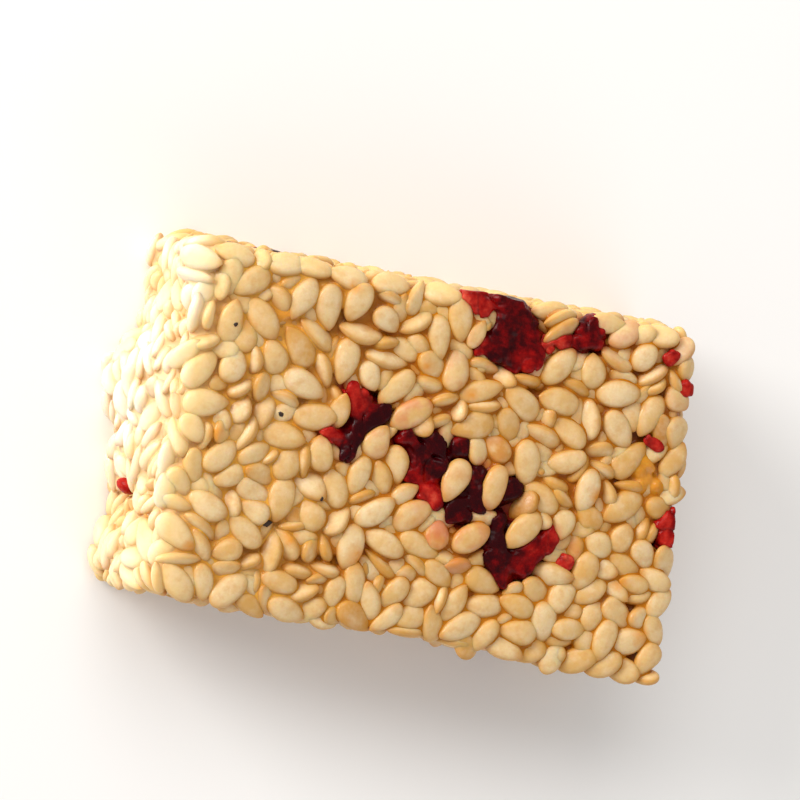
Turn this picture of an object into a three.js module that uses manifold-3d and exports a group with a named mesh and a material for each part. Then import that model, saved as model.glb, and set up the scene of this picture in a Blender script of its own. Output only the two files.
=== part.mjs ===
// One block of pressed sesame brittle with pieces of dried cranberry set into it.
// Millimetres, +Z up. The block lies on its lower broad face; the origin is at the
// centre of the bounding box's bottom. X runs along the long cut sides, Y across.
import * as THREE from 'three';
import { mergeVertices } from 'three/addons/utils/BufferGeometryUtils.js';
import Module from 'manifold-3d';

// ---- driving sizes -------------------------------------------------------
const LENGTH = 41.6;            // along X, on the upper long edge
const WIDTH = 27.0;             // along Y
const THICKNESS = 13.2;         // along Z, pressed face to pressed face
const SKEW_LEFT = 0.052;        // the knife ran a little off square at the -X end
const SKEW_RIGHT = 0.078;       // and a little more at the +X end
const EDGE_ROUND = 1.15;        // rounding between pressed faces and cut sides
const CORNER_ROUND = 2.1;       // rounding of the four upright corners, seen from above
const CELLS = [32, 22, 10];     // grid of the block's surface along X, Y, Z

// Seed relief: one low bump for each seed that shows
const SEED_PITCH = [2.75, 2.35, 1.55];   // spacing of seeds along X, Y, Z
const BUMP_TOP = 0.42;          // height of the bumps on the pressed upper face
const BUMP_SIDE = 0.72;         // height of the bumps on the cut sides
const WAVE_TOP = 0.16;          // slow unevenness of the upper face
const WAVE_SIDE = 0.45;         // slow unevenness of the cut sides
const WAVE_LEFT = 0.62;         // the -X end broke raggedly
// How far the broken end stands out below its upper part, along Y
const END_Y = [-13.5, -11.2, -9.5, -7.7, -5.8, -4.0, -2.5, -1.1, 0.1, 2.0, 4.2, 5.2, 7.6, 10.6, 12.5, 13.5];
const END_OUT = [0.3, 0.9, 0.2, -0.5, 0.6, 1.4, 1.1, 0.8, 1.6, 2.1, 1.7, 0.3, 0.0, -0.7, -0.9, -0.9];
const END_TOP = 10.5;           // the end starts to stand out below this height
const END_FULL = 5.5;           // and stands out in full below this one
const END_BACK = 0.25;          // its upper part lies back this much

// Cranberry pieces: [name, x, y, z, half sizes a, b, c, turn about Z in degrees]
// x, y from the centre of the block's grid, z from the lower face. The shown pieces are torn
// skins of several lobes, listed below; the others are single wrinkled forms of these sizes.
const TOP = THICKNESS;
const BERRIES = [
  ['cranberry_1', 5.15, 10.65, TOP - 0.75, 3.15, 3.35, 2.75, -20],
  ['cranberry_2', 11.95, 11.85, TOP - 0.65, 1.90, 1.60, 1.85, 12],
  ['cranberry_3', -5.70, 2.40, TOP - 0.60, 2.95, 1.95, 2.10, 50],
  ['cranberry_4', 1.90, -0.60, TOP - 0.80, 3.95, 2.55, 2.40, -28],
  ['cranberry_5', 8.35, -5.00, TOP - 0.75, 2.75, 2.20, 2.20, 12],
  ['cranberry_6', 20.80, -1.60, TOP - 2.55, 1.95, 2.10, 2.85, 0],
  ['cranberry_7', -9.50, -12.60, 5.60, 3.40, 2.20, 2.60, 8],
  ['cranberry_8', 12.60, -12.75, 3.90, 2.30, 1.80, 1.90, -15],
  ['cranberry_9', -7.20, 5.60, 1.05, 3.60, 2.80, 2.10, 25],
  ['cranberry_10', 13.20, 3.90, 0.95, 2.50, 2.10, 1.80, -40],
  ['cranberry_11', -13.40, 12.75, 5.40, 2.50, 1.70, 2.10, 0],
];
// Lobes of the shown pieces: [x, y, radius, depth of the middle under the upper face];
// where no depth is given, the lobe stands LOBE_PROUD above that face
const LOBES = {
  cranberry_1: [
    [5.62, 12.05, 1.70], [4.70, 10.04, 1.60], [7.32, 9.45, 1.35], [2.60, 12.75, 1.00], [1.75, 13.05, 0.75],
    [2.90, 9.85, 0.85], [4.40, 12.90, 1.15], [6.90, 11.20, 1.30], [5.90, 9.20, 1.10],
  ],
  cranberry_2: [
    [11.89, 12.00, 1.30], [12.40, 12.55, 1.00], [11.25, 11.20, 0.90], [9.65, 11.00, 0.58], [10.50, 11.10, 0.60],
    [12.75, 11.50, 0.75],
  ],
  cranberry_3: [
    [-6.16, 3.61, 1.28], [-4.40, 3.19, 0.98], [-6.07, 1.16, 1.22], [-7.90, 0.83, 0.84], [-6.46, -0.30, 0.78],
    [-4.98, 2.12, 1.08], [-7.00, 4.30, 0.70],
  ],
  cranberry_4: [
    [-1.95, 1.50, 0.95], [0.38, 1.60, 1.20], [2.52, 1.94, 1.06], [-0.78, -0.77, 1.02], [0.66, -2.33, 1.10],
    [3.04, -3.07, 1.30], [4.74, -1.88, 1.20], [7.25, -0.85, 1.15], [1.31, -0.01, 1.20], [3.94, -0.16, 1.10],
    [-0.70, 0.50, 1.00], [5.90, -1.20, 1.10], [2.45, -1.10, 1.25, 1.45],
  ],
  cranberry_5: [
    [6.59, -3.55, 1.10], [6.52, -5.17, 1.35], [7.10, -6.58, 1.22], [10.04, -4.75, 1.30], [10.85, -3.45, 0.80],
    [8.97, -6.26, 1.22], [8.35, -4.40, 1.05], [7.70, -7.60, 0.85],
  ],
  cranberry_6: [
    [20.62, -1.26, 1.05, 1.30], [20.72, -2.35, 1.00, 1.45], [20.72, -1.80, 1.45, 2.60],
    [20.70, -1.20, 1.15, 3.90], [20.75, -2.50, 0.90, 4.20],
  ],
};
const LOBE_PROUD = 0.14;        // how far a lobe stands above the upper face
const BETWEEN = 0.45;           // clearance between neighbouring pieces
const BERRY_DETAIL = 2;         // subdivision of each cranberry's surface
const SKIN_DETAIL = { cranberry_1: 3, cranberry_2: 2, cranberry_3: 3, cranberry_4: 4, cranberry_5: 3, cranberry_6: 2 };
const LOBE_BLEND = 0.60;        // how far neighbouring lobes run into each other
const BERRY_WRINKLE = 0.13;     // depth of its wrinkles, as a share of its size
const BERRY_PROUD = 0.20;       // how far a piece may stand above a pressed face
const SIDE_PROUD = 0.35;        // and above a cut side
const BOTTOM_RECESS = 0.12;     // pieces in the lower face stay this far above the table
const POCKET_GAP = 0.42;        // clearance between a wrinkled piece and its pocket
const SKIN_GAP = 0.56;          // and between a torn skin and its pocket

// ---- smooth repeatable noise --------------------------------------------
const hash = (i, j, k, s) => {
  let h = Math.imul(i, 374761393) ^ Math.imul(j, 668265263) ^ Math.imul(k, 2147483629) ^ Math.imul(s, 1274126177);
  h = Math.imul(h ^ (h >>> 13), 1103515245);
  h ^= h >>> 16;
  h = Math.imul(h, 2246822519);
  return ((h ^ (h >>> 15)) >>> 0) / 4294967296;
};
const fade = (t) => t * t * (3 - 2 * t);
const noise = (x, y, z, s) => {
  const i = Math.floor(x), j = Math.floor(y), k = Math.floor(z);
  const u = fade(x - i), v = fade(y - j), w = fade(z - k);
  let sum = 0;
  for (let a = 0; a < 2; a++) for (let b = 0; b < 2; b++) for (let c = 0; c < 2; c++) {
    sum += (a ? u : 1 - u) * (b ? v : 1 - v) * (c ? w : 1 - w) * hash(i + a, j + b, k + c, s);
  }
  return 2 * sum - 1;
};
// Height of the nearest seed's bump, 1 at its middle and 0 between seeds
const seedBump = (x, y, z) => {
  const q = [x / SEED_PITCH[0], y / SEED_PITCH[1], z / SEED_PITCH[2]];
  const c = q.map(Math.floor);
  let near = 9;
  for (let a = -1; a < 2; a++) for (let b = -1; b < 2; b++) for (let d = -1; d < 2; d++) {
    const i = c[0] + a, j = c[1] + b, k = c[2] + d;
    const dx = i + 0.15 + 0.7 * hash(i, j, k, 1) - q[0];
    const dy = j + 0.15 + 0.7 * hash(i, j, k, 2) - q[1];
    const dz = k + 0.15 + 0.7 * hash(i, j, k, 3) - q[2];
    near = Math.min(near, dx * dx + dy * dy + dz * dz);
  }
  return Math.max(0, 1 - near / 0.55);
};

// Value between listed points
const along = (at, values, x) => {
  let i = 0;
  while (i < at.length - 2 && x > at[i + 1]) i++;
  const t = Math.max(0, Math.min(1, (x - at[i]) / (at[i + 1] - at[i])));
  return values[i] + t * (values[i + 1] - values[i]);
};
// The ends run a little off square
const skew = (p) => {
  const t = 0.5 - p.y / WIDTH;
  const k = (p.x + LENGTH / 2) / LENGTH;
  p.x += t * WIDTH * (SKEW_LEFT + k * (SKEW_RIGHT - SKEW_LEFT));
};

// ---- geometry helpers ----------------------------------------------------
const bare = (geometry) => {
  geometry.deleteAttribute('normal');
  geometry.deleteAttribute('uv');
  return mergeVertices(geometry, 1e-4);
};
const movePoints = (geometry, f) => {
  const at = geometry.attributes.position;
  const p = new THREE.Vector3();
  for (let i = 0; i < at.count; i++) {
    f(p.fromBufferAttribute(at, i));
    at.setXYZ(i, p.x, p.y, p.z);
  }
  return geometry;
};

// ---- the block -----------------------------------------------------------
// The lower face is flat, so inside its outermost row of cells it is one polygon
const flatLowerFace = (g, lower) => {
  const at = g.attributes.position;
  const stepX = LENGTH / CELLS[0], stepY = WIDTH / CELLS[1];
  const inX = LENGTH / 2 - 1.001 * stepX, inY = WIDTH / 2 - 1.001 * stepY;
  const inside = (i) => Math.abs(at.getX(i)) <= inX + 0.01 * stepX && Math.abs(at.getY(i)) <= inY + 0.01 * stepY;
  const all = Array.from(g.index.array);
  const kept = all.slice(0, lower.start);
  const loop = new Set();
  for (let i = lower.start; i < lower.start + lower.count; i += 3) {
    const t = all.slice(i, i + 3);
    if (!t.every(inside)) kept.push(...t);
    t.filter((v) => inside(v) && (Math.abs(at.getX(v)) > inX - 0.01 * stepX || Math.abs(at.getY(v)) > inY - 0.01 * stepY))
      .forEach((v) => loop.add(v));
  }
  const ring = [...loop].sort((a, b) => Math.atan2(at.getY(a), at.getX(a)) - Math.atan2(at.getY(b), at.getX(b)));
  const lowerOnes = all.slice(lower.start, lower.start + lower.count);
  const middle = lowerOnes.reduce((a, b) => (Math.hypot(at.getX(b), at.getY(b)) < Math.hypot(at.getX(a), at.getY(a)) ? b : a));
  ring.forEach((v, i) => kept.push(middle, ring[(i + 1) % ring.length], v));
  g.setIndex(kept);
  return g;
};

const block = () => {
  const half = new THREE.Vector3(LENGTH / 2, WIDTH / 2, THICKNESS / 2);
  const whole = new THREE.BoxGeometry(LENGTH, WIDTH, THICKNESS, ...CELLS);
  const lower = whole.groups[5];
  const g = flatLowerFace(bare(whole), lower);
  return movePoints(g, (p) => {
    // rounded outline in plan
    const ix = half.x - CORNER_ROUND, iy = half.y - CORNER_ROUND;
    const onSide = Math.abs(p.x) > half.x - 1e-6 || Math.abs(p.y) > half.y - 1e-6;
    const ring = Math.max(Math.abs(p.x) / half.x, Math.abs(p.y) / half.y);
    const ex = p.x - Math.max(-ix, Math.min(ix, p.x));
    const ey = p.y - Math.max(-iy, Math.min(iy, p.y));
    const e = Math.hypot(ex, ey);
    if (e > CORNER_ROUND) {
      p.x = p.x - ex + (ex / e) * CORNER_ROUND;
      p.y = p.y - ey + (ey / e) * CORNER_ROUND;
    }
    // outward direction, rounded between the faces
    const cx = Math.max(-(half.x - EDGE_ROUND), Math.min(half.x - EDGE_ROUND, p.x));
    const cy = Math.max(-(half.y - EDGE_ROUND), Math.min(half.y - EDGE_ROUND, p.y));
    const cz = Math.max(-(half.z - EDGE_ROUND), Math.min(half.z - EDGE_ROUND, p.z));
    const n = new THREE.Vector3(p.x - cx, p.y - cy, p.z - cz);
    if (n.lengthSq() < 1e-12) n.set(0, 0, Math.sign(p.z));
    n.normalize();
    const r = Math.min(EDGE_ROUND, p.distanceTo(new THREE.Vector3(cx, cy, cz)));
    p.set(cx, cy, cz).addScaledVector(n, r);
    const flatBottom = p.z < -half.z + 1e-6;
    const side = 1 - Math.abs(n.z);
    const left = Math.max(0, -n.x);
    const low = Math.max(0, Math.min(1, (END_TOP - p.z - half.z) / (END_TOP - END_FULL)));
    const broken = left * (low * along(END_Y, END_OUT, p.y) - (1 - low) * END_BACK);
    const wave = noise(p.x / 6.1, p.y / 5.3, p.z / 4.4, 11) + 0.5 * noise(p.x / 2.9, p.y / 2.9, p.z / 2.4, 12);
    const bump = seedBump(p.x, p.y, p.z) - 0.75;
    const amount = side * (bump * BUMP_SIDE + wave * (WAVE_SIDE + left * (WAVE_LEFT - WAVE_SIDE)) + broken)
      + (1 - side) * (bump * BUMP_TOP + wave * WAVE_TOP);
    if (!flatBottom) p.addScaledVector(n, amount);
    else if (onSide || ring > 0.985) p.addScaledVector(new THREE.Vector3(n.x, n.y, 0), amount);
    skew(p);
    p.z += half.z;
    if (flatBottom || p.z < 0) p.z = 0;
  });
};

// ---- cranberry pieces ------------------------------------------------------
// Pressed level with the faces that it shows in
const pressed = (p) => {
  const top = TOP + BERRY_PROUD;
  if (p.z > top) p.z = top + 0.2 * (p.z - top);
  const edge = WIDTH / 2 + SIDE_PROUD;
  if (Math.abs(p.y) > edge) p.y = Math.sign(p.y) * (edge + 0.2 * (Math.abs(p.y) - edge));
  const end = LENGTH / 2 + WIDTH * SKEW_RIGHT * (0.5 - p.y / WIDTH) + SIDE_PROUD;
  if (p.x > end) p.x = end + 0.2 * (p.x - end);
  if (p.z < BOTTOM_RECESS) p.z = BOTTOM_RECESS;
};
// One wrinkled form, grown by extra for its pocket
const wrinkled = (x, y, z, a, b, c, turn, number, extra) => {
  const g = bare(new THREE.IcosahedronGeometry(1, BERRY_DETAIL));
  const spin = THREE.MathUtils.degToRad(turn);
  return movePoints(g, (p) => {
    const fold = noise(p.x * 1.7 + number * 5.3, p.y * 1.7, p.z * 1.7, 21)
      + 0.55 * noise(p.x * 3.6, p.y * 3.6 + number * 3.1, p.z * 3.6, 22);
    const k = 1 + BERRY_WRINKLE * fold;
    const q = new THREE.Vector3(p.x * a, p.y * b, p.z * c).multiplyScalar(k);
    const n = new THREE.Vector3(p.x / a, p.y / b, p.z / c).normalize();
    if (extra > 0) q.addScaledVector(n, extra);
    q.applyAxisAngle(new THREE.Vector3(0, 0, 1), spin);
    p.set(q.x + x, q.y + y, q.z + z);
    skew(p);
    if (extra === 0) pressed(p);
  });
};

// ---- booleans ------------------------------------------------------------
const wasm = await Module();
wasm.setup();
const solid = (g) => {
  // only the points that a triangle uses
  const used = [...new Set(g.index.array)];
  const place = new Map(used.map((v, i) => [v, i]));
  const at = g.attributes.position;
  return new wasm.Manifold(new wasm.Mesh({
    numProp: 3,
    vertProperties: new Float32Array(used.flatMap((v) => [at.getX(v), at.getY(v), at.getZ(v)])),
    triVerts: new Uint32Array(Array.from(g.index.array, (v) => place.get(v))),
  }));
};
const geometryOf = (m) => {
  const mesh = m.getMesh();
  const g = new THREE.BufferGeometry();
  g.setAttribute('position', new THREE.BufferAttribute(new Float32Array(mesh.vertProperties), 3));
  g.setIndex(new THREE.BufferAttribute(new Uint32Array(mesh.triVerts), 1));
  return g;
};

// ---- a torn skin of several lobes ------------------------------------------
// Distance to its surface, positive inside
const skin = (lobes, number) => (x, y, z) => {
  let sum = 0;
  for (const [u, v, w, r] of lobes) sum += Math.exp((r - Math.hypot(x - u, y - v, z - w)) / LOBE_BLEND * 2);
  const fold = noise(x * 1.1 + number * 5.3, y * 1.1, z * 1.1, 21) + 0.4 * noise(x * 2.3, y * 2.3, z * 2.3, 22);
  return Math.log(sum) * LOBE_BLEND / 2 + BERRY_WRINKLE * fold;
};
// The skin wrapped round its lobes, seen from their middle, grown by extra for its pocket
const wrapped = (name, number, extra) => {
  const lobes = LOBES[name].map(([x, y, r, depth]) => [x, y, TOP - (depth ?? r - LOBE_PROUD), r]);
  const weight = lobes.reduce((t, l) => t + l[3] ** 3, 0);
  const middle = new THREE.Vector3(...[0, 1, 2].map((k) => lobes.reduce((t, l) => t + l[k] * l[3] ** 3, 0) / weight));
  const reach = new THREE.Vector3(...[0, 1, 2].map((k) => Math.max(...lobes.map((l) => Math.abs(l[k] - middle.getComponent(k)) + l[3]))));
  const field = skin(lobes, number);
  const step = 0.05;
  return movePoints(bare(new THREE.IcosahedronGeometry(1, SKIN_DETAIL[name])), (p) => {
    const way = p.clone().multiply(reach).normalize();
    const value = (t) => field(middle.x + way.x * t, middle.y + way.y * t, middle.z + way.z * t) + extra;
    let t = reach.length() + extra + 1;
    while (t > step && value(t) < 0) t -= step;
    const inner = value(t), outer = value(t + step);
    p.copy(middle).addScaledVector(way, t + step * inner / (inner - outer));
    skew(p);
    if (extra === 0) pressed(p);
  });
};

let body = solid(block());
const pieces = [];
BERRIES.forEach(([name, x, y, z, a, b, c, turn], i) => {
  const form = (extra) => solid(LOBES[name] ? wrapped(name, i + 1, extra) : wrinkled(x, y, z, a, b, c, turn, i + 1, extra));
  body = body.subtract(form(LOBES[name] ? SKIN_GAP : POCKET_GAP));
  let piece = form(0);
  // neighbouring skins stay clear of each other
  if (LOBES[name]) {
    for (let j = 0; j < i; j++) piece = piece.subtract(solid(wrapped(BERRIES[j][0], j + 1, BETWEEN)));
  }
  pieces.push([name, geometryOf(piece)]);
});
const brittle = geometryOf(body);

// Put the origin at the centre of the bounding box's bottom
const box = new THREE.Box3();
for (const g of [brittle, ...pieces.map((p) => p[1])]) {
  g.computeBoundingBox();
  box.union(g.boundingBox);
}
const shift = new THREE.Vector3(-(box.min.x + box.max.x) / 2, -(box.min.y + box.max.y) / 2, 0);

const group = new THREE.Group();
group.name = 'sesame_brittle_piece';
const add = (name, geometry, material) => {
  const mesh = new THREE.Mesh(geometry, material);
  mesh.name = name;
  geometry.computeVertexNormals();
  mesh.position.copy(shift);
  group.add(mesh);
};
add('brittle', brittle, new THREE.MeshStandardMaterial({ color: 0xe3bd84, roughness: 0.42, metalness: 0 }));
for (const [name, geometry] of pieces) {
  add(name, geometry, new THREE.MeshStandardMaterial({ color: 0x8a1a1c, roughness: 0.28, metalness: 0 }));
}

export default group;
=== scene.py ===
"""Looks for one block of pressed sesame brittle with cranberry pieces set into it.

Every seed is a mesh of its own shape. The seeds are packed by a small relaxation of rigid
teardrops inside the block's outline, round the cranberry pieces; the syrup between them is
the closing of their union, so that it stands in the gaps as a meniscus does.
Working unit in this script is the millimetre; meshes are written in metres.
"""

import math
import time

import bpy
import numpy as np
import openvdb as vdb
from mathutils import Matrix, Vector
from mathutils.bvhtree import BVHTree


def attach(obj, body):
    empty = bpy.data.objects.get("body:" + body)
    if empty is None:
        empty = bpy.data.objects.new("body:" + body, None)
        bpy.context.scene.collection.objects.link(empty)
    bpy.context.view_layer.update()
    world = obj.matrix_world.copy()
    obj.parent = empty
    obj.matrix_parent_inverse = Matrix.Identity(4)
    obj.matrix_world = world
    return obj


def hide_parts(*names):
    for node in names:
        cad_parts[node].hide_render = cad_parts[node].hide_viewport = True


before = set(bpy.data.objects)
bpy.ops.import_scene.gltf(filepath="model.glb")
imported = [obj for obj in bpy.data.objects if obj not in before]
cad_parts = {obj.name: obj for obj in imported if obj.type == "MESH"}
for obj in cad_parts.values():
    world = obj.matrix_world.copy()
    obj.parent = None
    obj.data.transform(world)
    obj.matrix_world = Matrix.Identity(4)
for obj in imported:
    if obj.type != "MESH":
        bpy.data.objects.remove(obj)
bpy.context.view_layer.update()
MM = 0.001
TAU = 2 * math.pi

# ---------------------------------------------------------------------------
# The block, in the same numbers as its solid
# ---------------------------------------------------------------------------
LENGTH, WIDTH, THICK = 41.6, 27.0, 13.2
HALF = np.array([LENGTH / 2, WIDTH / 2, THICK / 2])
SKEW_LEFT, SKEW_RIGHT = 0.052, 0.078
SHIFT = np.array([-0.323, 0.031, 0.0])
EDGE = 0.85  # rounding of all the block's edges

# name, x, y, z, half sizes, turn in degrees, as in the solids
BERRIES = [
    ("cranberry_1", 5.15, 10.65, THICK - 0.75, 3.15, 3.35, 2.75, -20),
    ("cranberry_2", 11.95, 11.85, THICK - 0.65, 1.90, 1.60, 1.85, 12),
    ("cranberry_3", -5.70, 2.40, THICK - 0.60, 2.95, 1.95, 2.10, 50),
    ("cranberry_4", 1.90, -0.60, THICK - 0.80, 3.95, 2.55, 2.40, -28),
    ("cranberry_5", 8.35, -5.00, THICK - 0.75, 2.75, 2.20, 2.20, 12),
    ("cranberry_6", 20.80, -1.60, THICK - 2.55, 1.95, 2.10, 2.85, 0),
    ("cranberry_7", -9.50, -12.60, 5.60, 3.40, 2.20, 2.60, 8),
    ("cranberry_8", 12.60, -12.75, 3.90, 2.30, 1.80, 1.90, -15),
    ("cranberry_9", -7.20, 5.60, 1.05, 3.60, 2.80, 2.10, 25),
    ("cranberry_10", 13.20, 3.90, 0.95, 2.50, 2.10, 1.80, -40),
    ("cranberry_11", -13.40, 12.75, 5.40, 2.50, 1.70, 2.10, 0),
]

# Each shown piece is a torn, folded skin. Its lobes: x, y, depth of the lobe's middle under
# the face, radius, and how bright red its skin is there (0 dark, 1 bright).
T = THICK
LOBES = {
    "cranberry_1": [
        (5.62, 12.05, T - 1.45, 1.70, 0.28), (4.70, 10.04, T - 1.50, 1.60, 0.16), (7.32, 9.45, T - 1.35, 1.35, 0.60),
        (2.60, 12.75, T - 1.05, 1.00, 1.00), (1.75, 13.05, T - 0.95, 0.75, 1.00), (2.90, 9.85, T - 1.00, 0.85, 0.80),
        (4.40, 12.90, T - 1.60, 1.15, 0.55), (6.90, 11.20, T - 1.50, 1.30, 0.28), (5.90, 9.20, T - 1.30, 1.10, 0.42),
    ],
    "cranberry_2": [
        (11.89, 12.00, T - 1.35, 1.30, 0.15), (12.40, 12.55, T - 1.30, 1.00, 0.75), (11.25, 11.20, T - 1.05, 0.90, 0.45),
        (9.55, 11.00, T - 0.80, 0.52, 1.00), (8.55, 10.65, T - 0.85, 0.60, 1.00), (10.45, 11.10, T - 0.85, 0.50, 1.00),
        (12.75, 11.50, T - 1.10, 0.75, 0.90),
    ],
    "cranberry_3": [
        (-6.16, 3.61, T - 1.30, 1.28, 0.78), (-4.40, 3.19, T - 1.20, 0.98, 0.05), (-6.07, 1.16, T - 1.30, 1.22, 0.00),
        (-8.00, 0.81, T - 0.95, 0.78, 0.85), (-6.46, -0.30, T - 1.10, 0.78, 0.05), (-4.98, 2.12, T - 1.25, 1.08, 0.00),
        (-7.00, 4.30, T - 1.00, 0.70, 1.00),
    ],
    "cranberry_4": [
        (-1.95, 1.50, T - 1.15, 0.95, 0.45), (0.38, 1.60, T - 1.45, 1.20, 0.05), (2.52, 1.94, T - 1.40, 1.02, 0.05),
        (-0.78, -0.77, T - 1.25, 1.02, 0.50), (0.66, -2.33, T - 1.20, 1.10, 0.78), (3.04, -3.07, T - 1.50, 1.42, 0.05),
        (4.74, -1.88, T - 1.60, 1.42, 0.00), (7.25, -0.85, T - 1.50, 1.20, 0.05), (1.31, -0.01, T - 1.60, 1.20, 0.10),
        (3.94, -0.16, T - 1.60, 1.34, 0.00), (-0.70, 0.50, T - 1.30, 1.00, 0.15), (5.90, -1.20, T - 1.60, 1.34, 0.00),
    ],
    "cranberry_5": [
        (6.59, -3.30, T - 1.60, 1.10, 0.00), (6.52, -5.17, T - 1.55, 1.35, 0.00), (7.10, -6.58, T - 1.45, 1.22, 0.10),
        (10.04, -4.75, T - 1.25, 1.30, 0.62), (10.85, -3.45, T - 0.95, 0.80, 0.90), (8.97, -6.26, T - 1.30, 1.22, 0.38),
        (8.35, -3.90, T - 1.45, 1.00, 0.15), (7.70, -7.60, T - 1.10, 0.80, 0.60),
    ],
    "cranberry_6": [
        (20.62, -1.26, T - 1.30, 1.05, 0.70), (20.72, -2.35, T - 1.45, 1.00, 0.80), (20.80, -0.55, T - 1.20, 0.65, 0.80),
        (20.72, -1.80, T - 2.60, 1.45, 0.45), (20.70, -1.20, T - 3.90, 1.15, 0.20), (20.75, -2.50, T - 4.20, 0.90, 0.70),
        (20.60, -1.80, T - 1.50, 1.00, 0.60),
    ],
}  # fmt: skip
# small bits of the same skin: x, y, z, half sizes, turn
BITS = [
    (18.90, 11.40, T - 0.20, 0.66, 0.48, 0.36, 35),
    (20.40, 9.12, T - 0.52, 0.34, 0.54, 0.40, 15),
    (18.36, 4.80, T - 0.30, 0.80, 0.42, 0.32, -25),
    (12.30, -5.70, T - 0.55, 0.50, 0.46, 0.40, 60),
    (-20.75, -6.40, 4.20, 0.28, 0.42, 0.32, 0),
    (-20.45, 0.60, 7.60, 0.28, 0.36, 0.34, 0),
]


def lobes_of(row):
    """Lobes of a piece; those of the sides that are not shown follow from its size."""
    name, x, y, z, a, b, c, turn = row
    if name in LOBES:
        return np.array(LOBES[name])
    r = np.random.default_rng(int(name.split("_")[1]) * 29 + 3)
    out = []
    t = math.radians(turn)
    for k in range(9):
        u = r.normal(size=3)
        u *= r.uniform(0.25, 0.72) / np.linalg.norm(u)
        px, py, pz = u * [a, b, c]
        size = min(a, b, c) * r.uniform(0.42, 0.68)
        out.append((x + px * math.cos(t) - py * math.sin(t), y + px * math.sin(t) + py * math.cos(t), z + pz, size, r.choice([0.0, 0.1, 0.4, 0.9])))
    return np.array(out)


# Spots flooded with syrup: x, y, z, radius, how much higher it stands
POOLS = [
    (18.60, 2.20, T, 2.2, 0.54),
    (-12.95, 9.00, T, 1.1, 0.45),
    (-17.67, 11.48, T, 0.9, 0.40),
    (13.10, -3.30, T, 1.0, 0.40),
    (16.90, -3.60, T, 1.1, 0.45),
    (-12.00, -10.00, T, 1.2, 0.45),
    (6.00, -13.50, 7.00, 1.5, 0.5),
    (-14.00, -13.50, 9.00, 1.3, 0.5),
    (20.80, -7.00, 6.00, 1.5, 0.5),
    (2.00, 13.50, 6.00, 1.5, 0.5),
]

# Lumps of set syrup on the widest of those spots: x, y, z, radius
LUMPS = [
    (17.60, 2.35, T - 0.90, 0.66), (17.80, 1.25, T - 0.90, 0.64), (17.70, 3.25, T - 0.62, 0.34), (17.98, 3.10, T - 0.56, 0.32),
    (18.28, 2.92, T - 0.54, 0.31), (18.60, 2.68, T - 0.58, 0.29), (19.15, 1.40, T - 0.86, 0.60), (18.35, 1.85, T - 0.90, 0.50),
]  # fmt: skip

# Amber spots, where syrup has soaked into the seeds: x, y, z, radius
AMBER = [
    (18.30, 2.10, T, 1.50), (-10.20, -7.40, T, 0.90), (-4.70, -8.20, T, 1.20), (-18.20, -9.50, T, 0.70), (2.75, 5.70, T, 0.80),
    (14.20, -0.20, T, 0.85), (1.75, -5.60, T, 0.70), (-16.10, 8.00, T, 0.80), (-17.20, -0.60, T, 0.90), (16.90, -6.40, T, 0.90),
    (-1.10, 7.20, T, 0.70), (9.90, 2.90, T, 0.60), (-8.00, 12.20, T, 0.70), (19.30, -10.20, T, 0.90),
]  # fmt: skip

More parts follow.
